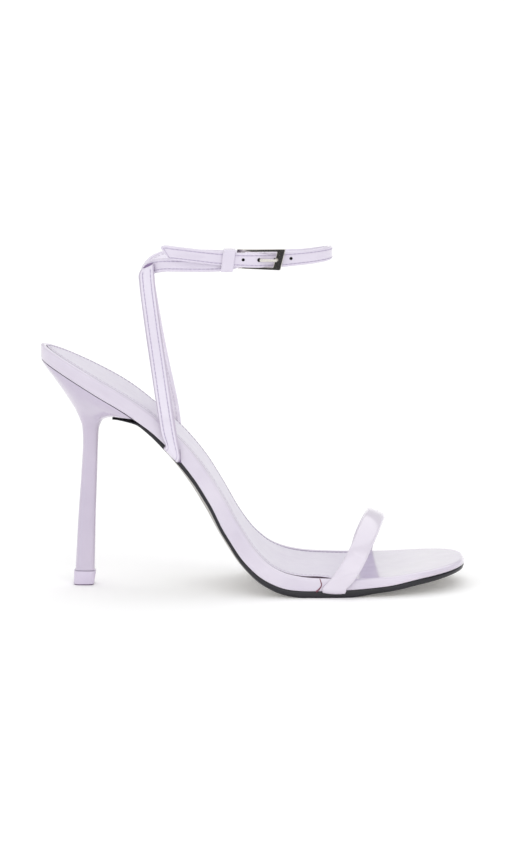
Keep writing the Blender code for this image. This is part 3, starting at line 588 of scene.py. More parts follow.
class Line:
    """A profile in the XZ plane with half widths, measured by the distance along it."""

    def __init__(self, x, z, share, half, upright):
        self.x = x
        self.z = z
        self.share = share
        self.half = half
        self.along = run(np.column_stack((x, z)))
        self.tangent_x = np.gradient(x, self.along)
        self.tangent_z = np.gradient(z, self.along)
        wall_x = -self.tangent_z * (1 - upright)
        wall_z = self.tangent_x * (1 - upright) + upright
        reach = -self.tangent_z * wall_x + self.tangent_x * wall_z
        self.wall_x = wall_x / reach
        self.wall_z = wall_z / reach

    def at(self, values, along):
        return np.interp(along, self.along, values)

    def reach(self, share):
        """Distance along the profile at a share of the foot's length."""
        return np.interp(share, self.share, self.along)

    def points(self, along, across, depth):
        """Points at a distance along the profile, off its middle, and below it along the wall."""
        x = self.at(self.x, along) - depth * self.at(self.wall_x, along)
        z = self.at(self.z, along) - depth * self.at(self.wall_z, along)
        return np.column_stack((x, across, z))

    def rings(self, plan, levels):
        """Rings round a plan, each moved inwards by a distance and down to a depth."""
        return np.array([self.points(*inset(plan, distance).T, depth) for distance, depth in levels])

    def stations(self, heel_run, toe_run):
        """Distances along the profile, closer together round its ends."""
        turn = 1 - np.cos(np.linspace(END_START, math.pi / 2, END_STEPS))
        toe = self.along[-1] - toe_run * turn[::-1]
        heel = heel_run * turn if heel_run else np.zeros(1)
        count = math.ceil((toe[0] - heel[-1]) / STATION_SPACING)
        middle = np.linspace(heel[-1], toe[0], count + 1)[1:-1]
        return np.concatenate((heel, middle, toe))

    def outline(self, stations):
        """Closed plan: along the lateral side to the toe, and back along the medial side."""
        lateral, medial = (self.at(self.half[side], stations) for side in SIDES)
        along = np.concatenate((stations, stations[::-1]))
        return np.column_stack((along, np.concatenate((-lateral, medial[::-1]))))


def footbed_line():
    """Top of the footbed at the middle of the foot."""
    share = np.linspace(0, 1, LINE_SAMPLES)
    height = FOOTBED.at("height", share) * SEAT_HEIGHT
    upright = 1 - ease(share, WALL_UPRIGHT_UNTIL, WALL_SQUARE_FROM)
    heel_end = rounded_end(share, HEEL_ROUND_SHARE, HEEL_ROUND_POWER)
    half = {}
    for side, power in TOE_ROUND_POWER.items():
        ends = heel_end * rounded_end(1 - share, TOE_ROUND_SHARE, power)
        half[side] = FOOTBED.at(side, share) * BALL_WIDTH * ends
    return Line((share - 0.5) * LENGTH, height, share, half, upright)


def board_underside(line):
    """Profile of the underside of the board, as x and z."""
    under = line.points(line.along, np.zeros(LINE_SAMPLES), FOOTBED.at("board", line.share))
    return under[:, 0], under[:, 2]


# Mesh making


def linked(name, data):
    """A new object in the scene."""
    obj = bpy.data.objects.new(name, data)
    bpy.context.scene.collection.objects.link(obj)
    return obj


def evaluated_mesh(obj):
    """A new mesh of an object as it shows."""
    shown = obj.evaluated_get(bpy.context.evaluated_depsgraph_get())
    return bpy.data.meshes.new_from_object(shown)


def dress(name, mesh, stands_for=(), sharp=SHARP_DEGREES):
    """A smooth piece that rides on the shoe, takes a material slot's finish, and may stand for solids."""
    mesh.shade_smooth()
    mesh.set_sharp_from_angle(angle=math.radians(sharp))
    obj = linked(name, mesh)
    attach(obj, "root")
    if stands_for:
        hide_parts(*stands_for)
    return obj


def add_piece(name, points, faces, finishes, stands_for=(), parts=None, sharp=SHARP_DEGREES):
    """A piece from points in millimetres; parts gives the number of each face's finish."""
    mesh = bpy.data.meshes.new(name)
    mesh.from_pydata((np.asarray(points) * MM).tolist(), [], faces)
    for finish in finishes:
        mesh.materials.append(FINISH[finish])
    if parts is not None:
        mesh.polygons.foreach_set("material_index", np.asarray(parts, np.int32))
    shape = bmesh.new()
    shape.from_mesh(mesh)
    bmesh.ops.recalc_face_normals(shape, faces=shape.faces)
    shape.to_mesh(mesh)
    shape.free()
    return dress(name, mesh, stands_for, sharp)


def grid_faces(index, around=False):
    """Quads between the rows of a grid of point numbers; around closes each row."""
    if around:
        index = np.column_stack((index, index[:, 0]))
    corners = (index[:-1, :-1], index[:-1, 1:], index[1:, 1:], index[1:, :-1])
    return np.stack(corners, axis=-1).reshape(-1, 4).tolist()


def numbered(rings, first=0):
    """Point numbers of rings, a row for each."""
    rows, count = np.shape(rings)[:2]
    return first + np.arange(rows * count).reshape(rows, count)


def loft(rings, columns):
    """Points, faces and each face's level and place for closed rings whose sides pair off, with caps."""
    rings = np.asarray(rings)
    levels, count = rings.shape[:2]
    half = count // 2
    index = numbered(rings)
    points = [rings.reshape(-1, 3)]
    faces = grid_faces(index, around=True)
    level_of = [np.repeat(np.arange(levels - 1), count)]
    place_of = [np.tile(np.arange(count), levels - 1)]
    shares = np.linspace(0, 1, columns + 1)[1:-1]
    for ring, level in ((0, -1), (levels - 1, levels - 1)):
        lateral = rings[ring, :half]
        medial = rings[ring, : half - 1 : -1]
        inner = lateral[:, None] + shares[None, :, None] * (medial - lateral)[:, None]
        numbers = numbered(inner, sum(map(len, points)))
        points.append(inner.reshape(-1, 3))
        cap = np.column_stack((index[ring, :half], numbers, index[ring, : half - 1 : -1]))
        faces += grid_faces(cap.T)
        level_of.append(np.full(columns * (half - 1), level))
        place_of.append(np.tile(np.arange(half - 1), columns))
    return np.vstack(points), faces, np.concatenate(level_of), np.concatenate(place_of)


def tube(name, points, radius, finish, stands_for=()):
    """A round wire along points in millimetres; a radius for each point makes it taper."""
    curve = bpy.data.curves.new(name, "CURVE")
    curve.dimensions = "3D"
    curve.bevel_depth = MM
    curve.bevel_resolution = TUBE_STEPS
    curve.use_fill_caps = True
    spline = curve.splines.new("POLY")
    spline.points.add(len(points) - 1)
    for spot, point, width in zip(spline.points, points, np.broadcast_to(radius, len(points))):
        spot.co = (*(np.asarray(point) * MM), 1)
        spot.radius = width
    curve.materials.append(FINISH[finish])
    drawn = linked("drawn_curve", curve)
    mesh = evaluated_mesh(drawn)
    bpy.data.objects.remove(drawn, do_unlink=True)
    return dress(name, mesh, stands_for)


class Path:
    """A strap's course: middles, half-width vectors across it, and the outward normals."""

    def __init__(self, middles, across, flip=False):
        self.middles = np.asarray(middles, float)
        self.across = np.asarray(across, float)
        self.direction = unit(np.gradient(self.middles, axis=0))
        self.normal = unit(np.cross(self.across, self.direction)) * (-1 if flip else 1)
        self.along = run(self.middles)

    def at(self, along):
        """Middles, widths, normals and directions at distances along the path."""
        middles, across = (sampled(along, self.along, values) for values in (self.middles, self.across))
        normals, directions = (unit(sampled(along, self.along, v)) for v in (self.normal, self.direction))
        return middles, across, normals, directions

    def rounding(self, radius, stitched_at):
        """Distances along the path, closer at its ends, and how full the strap is there as it rounds off."""
        end = self.along[-1]
        near = radius * (1 - np.cos(np.linspace(0, math.pi / 2, END_ROUND_STEPS)))
        inner = self.along[(self.along > radius) & (self.along < end - radius)]
        seam = end - stitched_at + STITCH_GROOVE_WIDTH * np.array((-0.5, 0.5))
        along = np.sort(np.concatenate((near, inner, end - near[::-1], seam)))
        left = np.clip(np.minimum(along, end - along) / radius, END_THINNEST, 1)
        return along, np.sqrt(1 - (1 - left) ** 2)

    def resampled(self, spacing, rounds, flip=False):
        """The path with even steps, its corners softened by averaging neighbours."""
        count = max(math.ceil(self.along[-1] / spacing), 2)
        middles, across, _, _ = self.at(np.linspace(0, self.along[-1], count + 1))
        for _ in range(rounds):
            for values in (middles, across):
                values[1:-1] = (values[:-2] + 2 * values[1:-1] + values[2:]) / 4
        return Path(middles, across, flip)


def face_places(half_width, edge, stitched_at):
    """Offsets across a strap's outer face, closer together at its stitch lines."""
    flat = half_width - edge
    if not stitched_at:
        return np.linspace(-flat, flat, FACE_STEPS)
    line = half_width - stitched_at
    right = np.concatenate((
        np.linspace(0, line - STITCH_GROOVE_WIDTH, INNER_STEPS)[1:],
        line + np.array(GROOVE_AT) * STITCH_GROOVE_WIDTH,
        np.linspace(line + STITCH_GROOVE_WIDTH, flat, WELT_STEPS),
    ))
    return np.concatenate((-right[::-1], [0.0], right))


def strap_section(half_width, thickness, edge, crown, stitched_at):
    """Section of a strap as offsets across and out of its middle."""
    half = thickness / 2
    across = face_places(half_width, edge, stitched_at)
    crowned = crown * (1 - (across / half_width) ** 2)
    outer = half + crowned
    if stitched_at:
        line = (np.abs(across) - (half_width - stitched_at)) / (STITCH_GROOVE_WIDTH / 2)
        outer = outer - STITCH_GROOVE * np.exp(-(line**2))
    turn = np.linspace(0, math.pi, EDGE_STEPS + 2)[1:-1]
    round_across = half_width - edge + edge * np.sin(turn)
    round_out = half * np.cos(turn)
    return np.vstack((
        np.column_stack((across, outer)),
        np.column_stack((round_across, round_out)),
        np.column_stack((across[::-1], (crowned - outer)[::-1])),
        np.column_stack((-round_across[::-1], round_out[::-1])),
    ))


def crease_depth(creases, along, across):
    """Depth of the shallow creases in a strap's outer face at one distance along it."""
    depth = np.zeros(len(across))
    for row in creases:
        away = (along - row["along"] - row["slant"] * across) / row["width"]
        depth += row["depth"] * np.exp(-(away**2))
    return depth


def strap_parts(along, rows, count, stitched_at, end_seam):
    """Finish of each face of a strap: 0 outside, 1 inside, 2 in its stitch lines and 3 along its edges."""
    plain = np.full(count, 3)
    inside = FACE_STEPS + EDGE_STEPS
    plain[: FACE_STEPS - 1] = 0
    plain[inside : inside + FACE_STEPS - 1] = 1
    right = FACE_STEPS // 2 + INNER_STEPS + np.arange(len(GROOVE_AT) - 1)
    groove = np.concatenate((FACE_STEPS - 2 - right, right))
    stitched = plain.copy()
    stitched[groove] = 2
    ended = plain.copy()
    ended[groove.min() : groove.max() + 1] = 2
    seam = along[-1] - stitched_at
    parts = []
    for i in range(rows):
        if not stitched_at or along[i] > seam:
            parts.extend(plain)
        elif end_seam and along[i + 1] > seam:
            parts.extend(ended)
        else:
            parts.extend(stitched)
    return parts


def add_strap(
    name, path, thickness, edge, crown, finishes, stands_for=(),
    stitched_at=0.0, end_seam=False, closed=False, creases=(),
):
    """A strap along a path, with finishes for its outside, inside, stitch lines and edges."""
    along = path.along
    fullness = np.ones(len(along))
    if not closed:
        along, fullness = path.rounding(edge, stitched_at)
    rings = []
    for distance, middle, across, normal, full in zip(along, *path.at(along)[:3], fullness):
        half_width = np.linalg.norm(across)
        section = strap_section(half_width, thickness, edge, crown, stitched_at)
        section[:FACE_STEPS, 1] -= crease_depth(creases, distance, section[:FACE_STEPS, 0])
        offsets = section[:, 0] / half_width * (1 - edge * (1 - full) / half_width)
        rings.append(middle + np.outer(offsets, across) + np.outer(section[:, 1] * full, normal))
    index = numbered(rings)
    count = index.shape[1]
    faces = grid_faces(np.vstack((index, index[:1])) if closed else index, around=True)
    parts = strap_parts(along, len(faces) // count, count, stitched_at, end_seam)
    if not closed:
        faces += [index[0].tolist(), index[-1].tolist()]
        parts.extend((0, 0))
    return add_piece(name, np.vstack(rings), faces, finishes, stands_for, parts)


def capsule():
    """Points and faces of one stitch along X."""
    turn = np.linspace(0, math.pi, STITCH_RINGS)[:, None]
    side = np.linspace(0, 2 * math.pi, STITCH_SIDES, endpoint=False)
    radius = STITCH_RADIUS * np.maximum(np.sin(turn), STITCH_END) ** STITCH_FULLNESS
    length = np.broadcast_to(-np.cos(turn) * STITCH_LENGTH / 2, (STITCH_RINGS, STITCH_SIDES))
    rings = np.stack((length, radius * np.cos(side), radius * np.sin(side)), axis=-1)
    index = numbered(rings)
    return rings.reshape(-1, 3), grid_faces(index, around=True) + [index[0].tolist(), index[-1].tolist()]


def stitch_lines(name, lines, finish):
    """One piece with a stitch at each place of each line; a line is places, directions and normals."""
    shape, shape_faces = capsule()
    points = []
    faces = []
    for places, directions, normals in lines:
        for place, direction, normal in zip(places, directions, normals):
            side = unit(np.cross(normal, direction))
            start = len(points) * len(shape)
            points.append(place + shape @ np.array((direction, side, np.cross(direction, side))))
            faces.extend([start + number for number in face] for face in shape_faces)
    return add_piece(name, np.vstack(points), faces, [finish], sharp=STITCH_SHARP_DEGREES)


def strap_stitches(path, stitched_at, first):
    """Stitch lines of an ankle strap from a distance along its path: two outside and two inside."""
    last = path.along[-1] - stitched_at
    count = max(round((last - first) / STITCH_PITCH), 1)
    along = first + (np.arange(count) + 0.5) * (last - first) / count
    middles, across, normals, directions = path.at(along)
    half_width = np.linalg.norm(across, axis=1)[:, None]
    off = half_width - stitched_at
    inner = STRAP_THICKNESS / 2 - STITCH_GROOVE + STITCH_RISE["strap"] * STITCH_RADIUS
    outer = inner + STRAP_CROWN * (1 - (off / half_width) ** 2)
    outside = []
    inside = []
    for side in SIDES.values():
        edge = middles + side * across / half_width * off
        outside.append((edge + normals * outer, directions, normals))
        inside.append((edge - normals * inner, directions, -normals))
    return outside, inside


def end_stitches(path, stitched_at):
    """A stitch line across the last end of an ankle strap."""
    middle, across, normal, _ = (values[0] for values in path.at(path.along[-1:] - stitched_at))
    half_width = np.linalg.norm(across)
    reach = half_width - stitched_at
    count = max(round(2 * reach / STITCH_PITCH), 1)
    offsets = ((np.arange(count) + 0.5) / count * 2 - 1) * reach
    rise = STRAP_THICKNESS / 2 + STITCH_RISE["end"] * STITCH_RADIUS
    places = middle + np.outer(offsets, across / half_width) + normal * rise
    return [(places, np.tile(across / half_width, (count, 1)), np.tile(normal, (count, 1)))]


# Footbed, sole and heel


def make_board(line, stations):
    """Wrapped footbed board: rolled rim, a recess inside it for the sock, and a bare forefoot."""
    plan = line.outline(stations)
    share = line.at(line.share, plan[:, 0])
    thick = FOOTBED.at("board", share)
    front = np.where(plan[:, 1] < 0, SOCK_FRONT["lateral"], SOCK_FRONT["medial"])
    behind = 1 - ease(share, front, front + SOCK_RAMP)
    low = thick - RIM_FOOT_ROUND
    levels = []
    for sine, cosine in quarter(RIM_STEPS["foot"]):
        levels.append((RIM_FOOT_ROUND * (1 - sine), thick - RIM_FOOT_ROUND * (1 - cosine)))
    for t in np.linspace(0, 1, RIM_STEPS["wall"])[1:-1]:
        levels.append((-RIM_BULGE * math.sin(math.pi * t), low + (RIM_ROLL - low) * t))
    for sine, cosine in quarter(RIM_STEPS["roll"]):
        levels.append((RIM_ROLL * (1 - cosine), RIM_ROLL * (1 - sine)))
    for sine, cosine in quarter(RIM_STEPS["inner"])[1:]:
        levels.append((RIM_WIDTH - RIM_INNER_ROLL * (1 - sine), RIM_INNER_ROLL * (1 - cosine) * behind))
    levels.append((RIM_WIDTH + RECESS_STEP, (SOCK_THICKNESS + SEAM) * behind))
    points, faces, level_of, place_of = loft(line.rings(plan, levels), FOOTBED_COLUMNS_ACROSS)
    top = len(levels) - 1
    parts = np.where(level_of == top, 1, 0)
    # Painted shade: where the sock lies fully in its recess, the top levels of the rim's inner roll take a
    # dark crease colour.
    parts[(level_of >= top - CREASE_SHADE_LEVELS) & (level_of < top) & (behind[place_of] > FULL_RECESS)] = 2
    finishes = ("patent_rim", "patent_forefoot", "crease_painted_shade")
    add_piece("wrapped_footbed", points, faces, finishes, ("insole_board",), parts)


def sock_plan(line, stations, distance):
    """Plan of the sock's sides at a distance inside the footbed's edge, cut slanting at its front."""
    moved = inset(line.outline(stations), distance)
    outlines = {"lateral": moved[: len(stations)], "medial": moved[len(stations) :][::-1]}
    ends = {side: line.reach(share) - SOCK_SHORT_OF_RAMP for side, share in SOCK_FRONT.items()}
    nearer = ends["lateral"]
    shared = np.append(stations[stations < nearer - STATION_SPACING / 2], nearer)
    slanting = ease(shared, line.reach(SOCK_SLANT_FROM), nearer)
    rows = np.arange(len(stations))
    sides = {}
    for side, outline in outlines.items():
        stretched = shared + (ends[side] - nearer) * slanting
        plan = sampled(np.interp(stretched, stations, rows), rows, outline)
        plan[-1] = ends[side], np.interp(ends[side], outline[:, 0], outline[:, 1])
        sides[side] = plan
    return sides


def sock_top(line, along, side):
    """Height of the sock's top above the footbed along one edge."""
    return SOCK_EDGE.at(side, line.at(line.share, along))


def make_sock(line, stations):
    """Lining sheet inside the rim, with a softly rounded top over an edge of painted shade: dark where its
    gap to the rim is shaded, the crease shade elsewhere.
    """
    first = RIM_WIDTH + SEAM + RECESS_STEP
    levels = [(first, None), (first, SOCK_EDGE_ROUND)]
    for sine, cosine in quarter(SOCK_ROUND_STEPS)[1:]:
        levels.append((first + SOCK_EDGE_ROUND * (1 - cosine), SOCK_EDGE_ROUND * (1 - sine)))
    rings = []
    for distance, below in levels:
        sides = sock_plan(line, stations, distance)
        plan = np.vstack((sides["lateral"], sides["medial"][::-1]))
        lateral, medial = (sock_top(line, sides[side][:, 0], side) for side in SIDES)
        top = np.concatenate((lateral, medial[::-1]))
        rings.append(line.points(*plan.T, SOCK_THICKNESS if below is None else below - top))
    points, faces, level_of, place_of = loft(rings, FOOTBED_COLUMNS_ACROSS)
    share = line.at(line.share, plan[:, 0])
    # Painted shade on the sock's edge: dark where its gap to the rim is shaded, the crease colour elsewhere.
    dark = ((plan[:, 1] < 0) & (share > SOCK_DARK_FROM)) | (share < SOCK_DARK_UNTIL)
    parts = np.where(level_of < 1, np.where(dark[place_of], 1, 2), 0)
    finishes = ("sock_leather", "sock_edge_painted_shade", "crease_painted_shade")
    add_piece("sock_lining", points, faces, finishes, ("sock",), parts)


def sock_stitches(line, stations):
    """Fine stitches round the sock, just inside its edge."""
    for name, (distance, thread) in SOCK_STITCHES.items():
        side = sock_plan(line, stations, RIM_WIDTH + SEAM + distance)[name]
        top = sock_top(line, side[:, 0], name)
        course = line.points(*side.T, -top - STITCH_RISE["sock"] * STITCH_RADIUS)
        runs = run(course)
        at = np.arange(STITCH_PITCH / 2, runs[-1] - STITCH_PITCH, STITCH_PITCH)
        places = sampled(at, runs, course)
        along = np.interp(at, runs, side[:, 0])
        rise, forward = (line.at(values, along) for values in (line.tangent_z, line.tangent_x))
        normals = np.column_stack((-rise, np.zeros(len(at)), forward))
        lines = [(places, unit(np.gradient(places, axis=0)), normals)]
        stitch_lines(f"sock_stitches_{name}", lines, thread)


def sole_line(line):
    """Top of the sole: under the board, and level under the heel's breast lip."""
    x, under = board_underside(line)
    board = (under - SEAM) / SOLE_TONGUE_BLEND
    tongue = SOLE_TONGUE_TOP / SOLE_TONGUE_BLEND
    lowered = -SOLE_TONGUE_BLEND * np.logaddexp(-board, -tongue)
    kept = x >= SOLE_TONGUE_X
    widening = ease(x[kept], SOLE_TONGUE_X, SOLE_TONGUE_X + SOLE_TONGUE_RUN)
    narrowing = 1 - SOLE_TONGUE_NARROWING * (1 - widening)
    half = {side: line.half[side][kept] * narrowing for side in SIDES}
    return Line(x[kept], lowered[kept], line.share[kept], half, np.zeros(kept.sum()))


def make_sole(line, toe_run):
    """Thin sole: painted edge, and a leather underside that is bevelled at the waist."""
    top = sole_line(line)
    plan = top.outline(top.stations(0, toe_run))
    share = top.at(top.share, plan[:, 0])
    tip = ease(top.at(top.x, plan[:, 0]), SOLE_TONGUE_X, SOLE_TONGUE_X + SOLE_TONGUE_TAPER)
    thick = FOOTBED.at("sole", share) * (SOLE_TONGUE_TIP + (1 - SOLE_TONGUE_TIP) * tip)
    ball = ease(share, SOLE_WAIST_END, SOLE_BALL_START)
    bevel = SOLE_BEVEL_AT_WAIST * (1 - ball) + SOLE_BEVEL_AT_BALL * ball
    edge_at_waist = np.minimum(SOLE_EDGE.at("edge", share), SOLE_EDGE_SHARE * thick)
    edge = edge_at_waist * (1 - ball) + (thick - SOLE_BEVEL_AT_BALL) * ball
    levels = [(SOLE_INSET + further, part * edge) for further, part in SOLE_EDGE_LEVELS]
    start = SOLE_EDGE_LEVELS[-1][0]
    for t in np.linspace(0, 1, SOLE_BEVEL_STEPS + 1)[1:]:
        depth = edge + (thick - edge) * (1 - (1 - t) ** SOLE_BEVEL_POWER)
        levels.append((SOLE_INSET + start + (bevel - start) * t, depth))
    rings = top.rings(plan, levels)
    rings[:, :, 2] = np.maximum(rings[:, :, 2], 0)
    points, faces, level_of, place_of = loft(rings, FOOTBED_COLUMNS_ACROSS)
    painted_bevel = np.floor(SOLE_BEVEL_STEPS * ease(share[place_of], *SOLE_PAINT_GROWS))
    parts = level_of >= len(SOLE_EDGE_LEVELS) - 1 + painted_bevel
    finishes = ("painted_edge", "sole_leather")
    add_piece("thin_sole", points, faces, finishes, ("outsole",), parts)


def section_ring(back, front, width, widest, back_round, front_round):
    """Ring between a back and a front point, given as x and z, rounded differently at either end."""
    turn = np.linspace(HEEL_RING_START, math.pi - HEEL_RING_START, 2 * HEEL_SIDE_STEPS)
    behind = turn < math.pi / 2
    power = np.where(behind, back_round, front_round)
    reach = curved(-np.cos(turn), power)
    side = curved(np.sin(turn), power) * width
    share = widest + reach * np.where(behind, widest, 1 - widest)
    x, z = (low + share * (high - low) for low, high in zip(back, front))
    lateral = np.column_stack((x, -side, z))
    return np.vstack((lateral, (lateral * (1, -1, 1))[::-1]))


def make_heel(line):
    """Covered heel: a slender stem that flares into a cup under the seat."""
    under_x, under_z = board_underside(line)
    rings = []
    for rise in np.linspace(0, 1, HEEL_LEVELS) ** HEEL_LEVEL_SPREAD:
        back_x, back_z, front_x, front_z, *form = (HEEL.at(name, rise) for name in HEEL.columns[1:])
        ring = section_ring((back_x, back_z), (front_x, front_z), *form)
        ceiling = np.interp(ring[:, 0], under_x, under_z) - SEAM
        ring[:, 2] = ceiling if rise == 1 else np.minimum(ring[:, 2], ceiling - (1 - rise))
        rings.append(ring)
    points, faces, _, _ = loft(rings, HEEL_COLUMNS_ACROSS)
    # The heel's patent is darker as painted shade.
    add_piece("covered_heel", points, faces, ("patent_heel",), ("heel_block",))


def make_lift():
    """Wear piece with a flat underside, rounded edges and a darker foot."""
    rings = []
    for height, back_x, front_x, width in LIFT.rows:
        ends = ((back_x, height), (front_x, height))
        rings.append(section_ring(*ends, width, LIFT_WIDEST, LIFT_ROUND, LIFT_ROUND))
    points, faces, level_of, _ = loft(rings, HEEL_COLUMNS_ACROSS)
    finishes = ("lift_rubber", "lift_foot")
    parts = level_of < LIFT_FOOT_LEVELS
    add_piece("top_lift", points, faces, finishes, ("heel_top_lift",), parts)


def rim_course(line, corners, side):
    """Points on the rim's wall through corners given by x and a share of the wall's depth."""
    corners = np.array(corners)
    places = sampled(np.linspace(0, len(corners) - 1, RIM_SEAM_STEPS), np.arange(len(corners)), corners)
    points = []
    for x, depth_share in places:
        station = np.interp(x, line.x, line.along)
        depth = depth_share * FOOTBED.at("board", x / LENGTH + 0.5)
        rolled = RIM_ROLL - math.sqrt(max(RIM_ROLL**2 - max(RIM_ROLL - depth, 0) ** 2, 0))
        across = SIDES[side] * (line.at(line.half[side], station) - rolled)
        points.append(line.points(station, across, depth)[0])
    return points


def make_rim_seams(line):
    """Raw edge of the rim's cover, on either side of the shoe."""
    radii = np.linspace(*RIM_SEAM_RADII, RIM_SEAM_STEPS)
    for side in SIDES:
        tube(f"rim_seam_{side}", rim_course(line, RIM_SEAM, side), radii, "raw_edge")


# Straps


def fold_under(foot, side, up, across, tuck):
    """Middles and widths of a strap end from its tuck, round a small fold, to its foot on the rim."""
    out = np.array((0.0, SIDES[side], 0.0))
    centre = foot - out * FOLD_RADIUS
    middles = [centre - up * FOLD_RADIUS - out * tuck]
    for sine, cosine in quarter(FOLD_STEPS):
        middles.append(centre + (out * sine - up * cosine) * FOLD_RADIUS)
    return np.array(middles), np.tile(across, (len(middles), 1))


def toe_strap_foot(line, side):
    """Foot of the toe strap on one edge of the footbed."""
    arch_x = TOE_ARCH.at("x", TOE_FOOT_TURNS[side])
    share = arch_x / LENGTH + 0.5
    passed = share + TOE_RIM_PASSED / LENGTH * np.linspace(-1, 1, PASSED_STEPS)
    edge = np.interp(passed, line.share, line.half[side]).max()
    top = FOOTBED.at("height", share) * SEAT_HEIGHT
    height = top - FOOTBED.at("board", share) - SEAM / 2 + FOLD_RADIUS
    x = arch_x - (TOE_ARCH_FOOT - height) * TOE_FOOT_SLOPES[side]
    return np.array((x, SIDES[side] * (edge + SEAM + TOE_STRAP_THICKNESS / 2), height))


def toe_strap_path(line):
    """Course of the toe strap from its lateral tuck over the toes to its medial tuck."""
    degrees = np.linspace(*TOE_FOOT_TURNS.values(), TOE_ARCH_STEPS)
    turn = np.radians(degrees)
    x, half, dip = (TOE_ARCH.at(name, degrees) for name in ("x", "half", "dip"))
    arch_across = np.column_stack((half, np.zeros(TOE_ARCH_STEPS), -dip))
    feet = {side: toe_strap_foot(line, side) for side in SIDES}
    low, high = (foot[1] for foot in feet.values())
    over = low + (high - low) * (1 - np.cos(turn)) / 2
    arch = np.column_stack((x, over, TOE_ARCH_FOOT + TOE_ARCH_HEIGHT * np.sin(turn)))
    ends = []
    for (side, foot), across in zip(feet.items(), arch_across[[0, -1]]):
        up = unit(np.cross((0, 1, 0), -across))
        ends.append(fold_under(foot, side, up, across, TOE_TUCK))
    (start, start_across), (end, end_across) = ends
    middles = np.vstack((start, arch, end[::-1]))
    across = np.vstack((start_across, arch_across, end_across[::-1]))
    return Path(middles, across).resampled(TOE_SPACING, TOE_SOFTENING)


def make_toe_strap(line):
    finishes = ("patent_toe_strap", "toe_strap_lining", "patent_toe_strap", "patent_toe_strap")
    add_strap(
        "folded_toe_strap", toe_strap_path(line), TOE_STRAP_THICKNESS, STRAP_EDGE_ROUND, TOE_STRAP_CROWN,
        finishes, ("toe_strap",), creases=TOE_CREASES.dicts(),
    )


def riser_foot(line, side, forward):
    """Fold of a riser under the waist, as middles and widths, and its distance from the foot's middle."""
    station = line.reach(RISER_STATION + forward / LENGTH)
    along = np.array((line.at(line.tangent_x, station), 0, line.at(line.tangent_z, station)))
    up = np.array((-along[2], 0, along[0]))
    passed = station + RISER_FOOT_WIDTH * np.linspace(*RISER_RIM_PASSED, PASSED_STEPS)
    outward = line.at(line.half[side], passed).max() + SEAM + STRAP_THICKNESS / 2
    depth = FOOTBED.at("board", RISER_STATION) + SEAM / 2 - FOLD_RADIUS + RISER_FOOT_DROP
    on_edge = np.array((line.at(line.x, station), SIDES[side] * outward, line.at(line.z, station)))
    fold = fold_under(on_edge - up * depth, side, up, along * RISER_FOOT_WIDTH / 2, RISER_TUCK)
    return *fold, outward


def riser_path(line, side):
    """Course of one riser from its tuck under the waist to the back of the ankle."""
    top, inward, back, forward = RISER_ENDS[side]
    start, start_across, outward = riser_foot(line, side, forward)
    lowest, _, lowest_across = RISER.rows[0]
    heights = np.linspace(lowest, top, RISER_STEPS)
    rise = (heights - lowest) / (top - lowest)
    low, full, end = RISER_GAPE_HEIGHTS
    gape = RISER_GAPE * ease(heights, low, full) * (1 - ease(heights, full, end))
    half = RISER_WIDTH / 2
    rounding = RISER_TOP_ROUND * half * np.clip(1 - (top - heights) / RISER_TOP_ROUND_RUN, 0, 1) ** 2
    moved = forward * (1 - ease(rise, 0.0, RISER_FORWARD_UNTIL)) - back * ease(rise, *RISER_BACK_SPAN)
    offsets = RISER.at("across", heights) + (outward - lowest_across) * (1 - rise) - inward * rise
    upper = np.column_stack((
        RISER.at("x", heights) + rounding + moved,
        SIDES[side] * (offsets + gape * half),
        heights,
    ))
    near_top = ease(heights, top - RISER_SLANT_RUN, top)
    slant = RISER_LEAN + (RISER_TOP_SLANT - RISER_LEAN) * near_top
    widths = np.column_stack((np.ones(RISER_STEPS), SIDES[side] * gape, slant)) * (half - rounding)[:, None]
    path = Path(np.vstack((start, upper)), np.vstack((start_across, widths)))
    return path.resampled(RISER_SPACING, RISER_SOFTENING, flip=side == "medial")


def loop_points(angle, height, outward):
    """Points at angles round the ankle loop, outward of its surface."""
    turn = np.radians(angle)
    u = curved(np.cos(turn), LOOP_POWER)
    v = curved(np.sin(turn), LOOP_POWER)
    length = np.where(u > 0, LOOP_BACK_LENGTH, LOOP_FRONT_LENGTH)
    normal = unit(np.column_stack((
        -np.sign(u) * np.abs(u) ** (LOOP_POWER - 1) / length,
        np.sign(v) * np.abs(v) ** (LOOP_POWER - 1) / LOOP_HALF_WIDTH,
        np.zeros_like(u),
    )))
    height = np.broadcast_to(height, u.shape)
    surface = np.column_stack((LOOP_CENTRE_X - length * u, LOOP_HALF_WIDTH * v, height))
    return surface + normal * np.broadcast_to(outward, u.shape)[:, None]


def loop_strap(table, angles):
    """Middles and half-width vectors of a loop strap at angles round the ankle, upright and square to it."""
    height, outward, width = (table.at(name, angles) for name in ("height", "outward", "width"))
    middles = loop_points(angles, height, outward)
    direction = unit(np.gradient(middles, axis=0))
    across = unit(UP - direction * direction[:, 2:])
    return middles, across * width[:, None] / 2


def loop_angles(table):
    first, last = table.rows[[0, -1], 0]
    return np.linspace(first, last, round((last - first) / LOOP_STEP) + 1)


def long_strap_path():
    """Long strap round the ankle, with its tail cut slanting."""
    middles, across = loop_strap(LONG_STRAP, loop_angles(LONG_STRAP))
    plain = Path(middles, across)
    left = plain.along[-1] - plain.along
    slant = TAIL_SLANT * (1 - ease(left, 0, TAIL_SLANT_RUN))
    half = np.linalg.norm(across, axis=1)
    rounding = TAIL_ROUND * half * np.clip(1 - left / TAIL_ROUND_RUN, 0, 1) ** 2
    middles = middles - UP * rounding[:, None]
    across = across * (1 - rounding / half)[:, None] + plain.direction * (slant * half)[:, None]
    return Path(middles, across)


def buckle_strap_path():
    """Short strap from the back of the ankle to the hinge bar."""
    return Path(*loop_strap(BUCKLE_STRAP, loop_angles(BUCKLE_STRAP)[::-1]), flip=True)


def hinge_centre():
    """Middle of the buckle's hinge bar."""
    return loop_points(np.array([HINGE_ANGLE]), FRAME_HEIGHT, -HINGE_INWARD)[0]


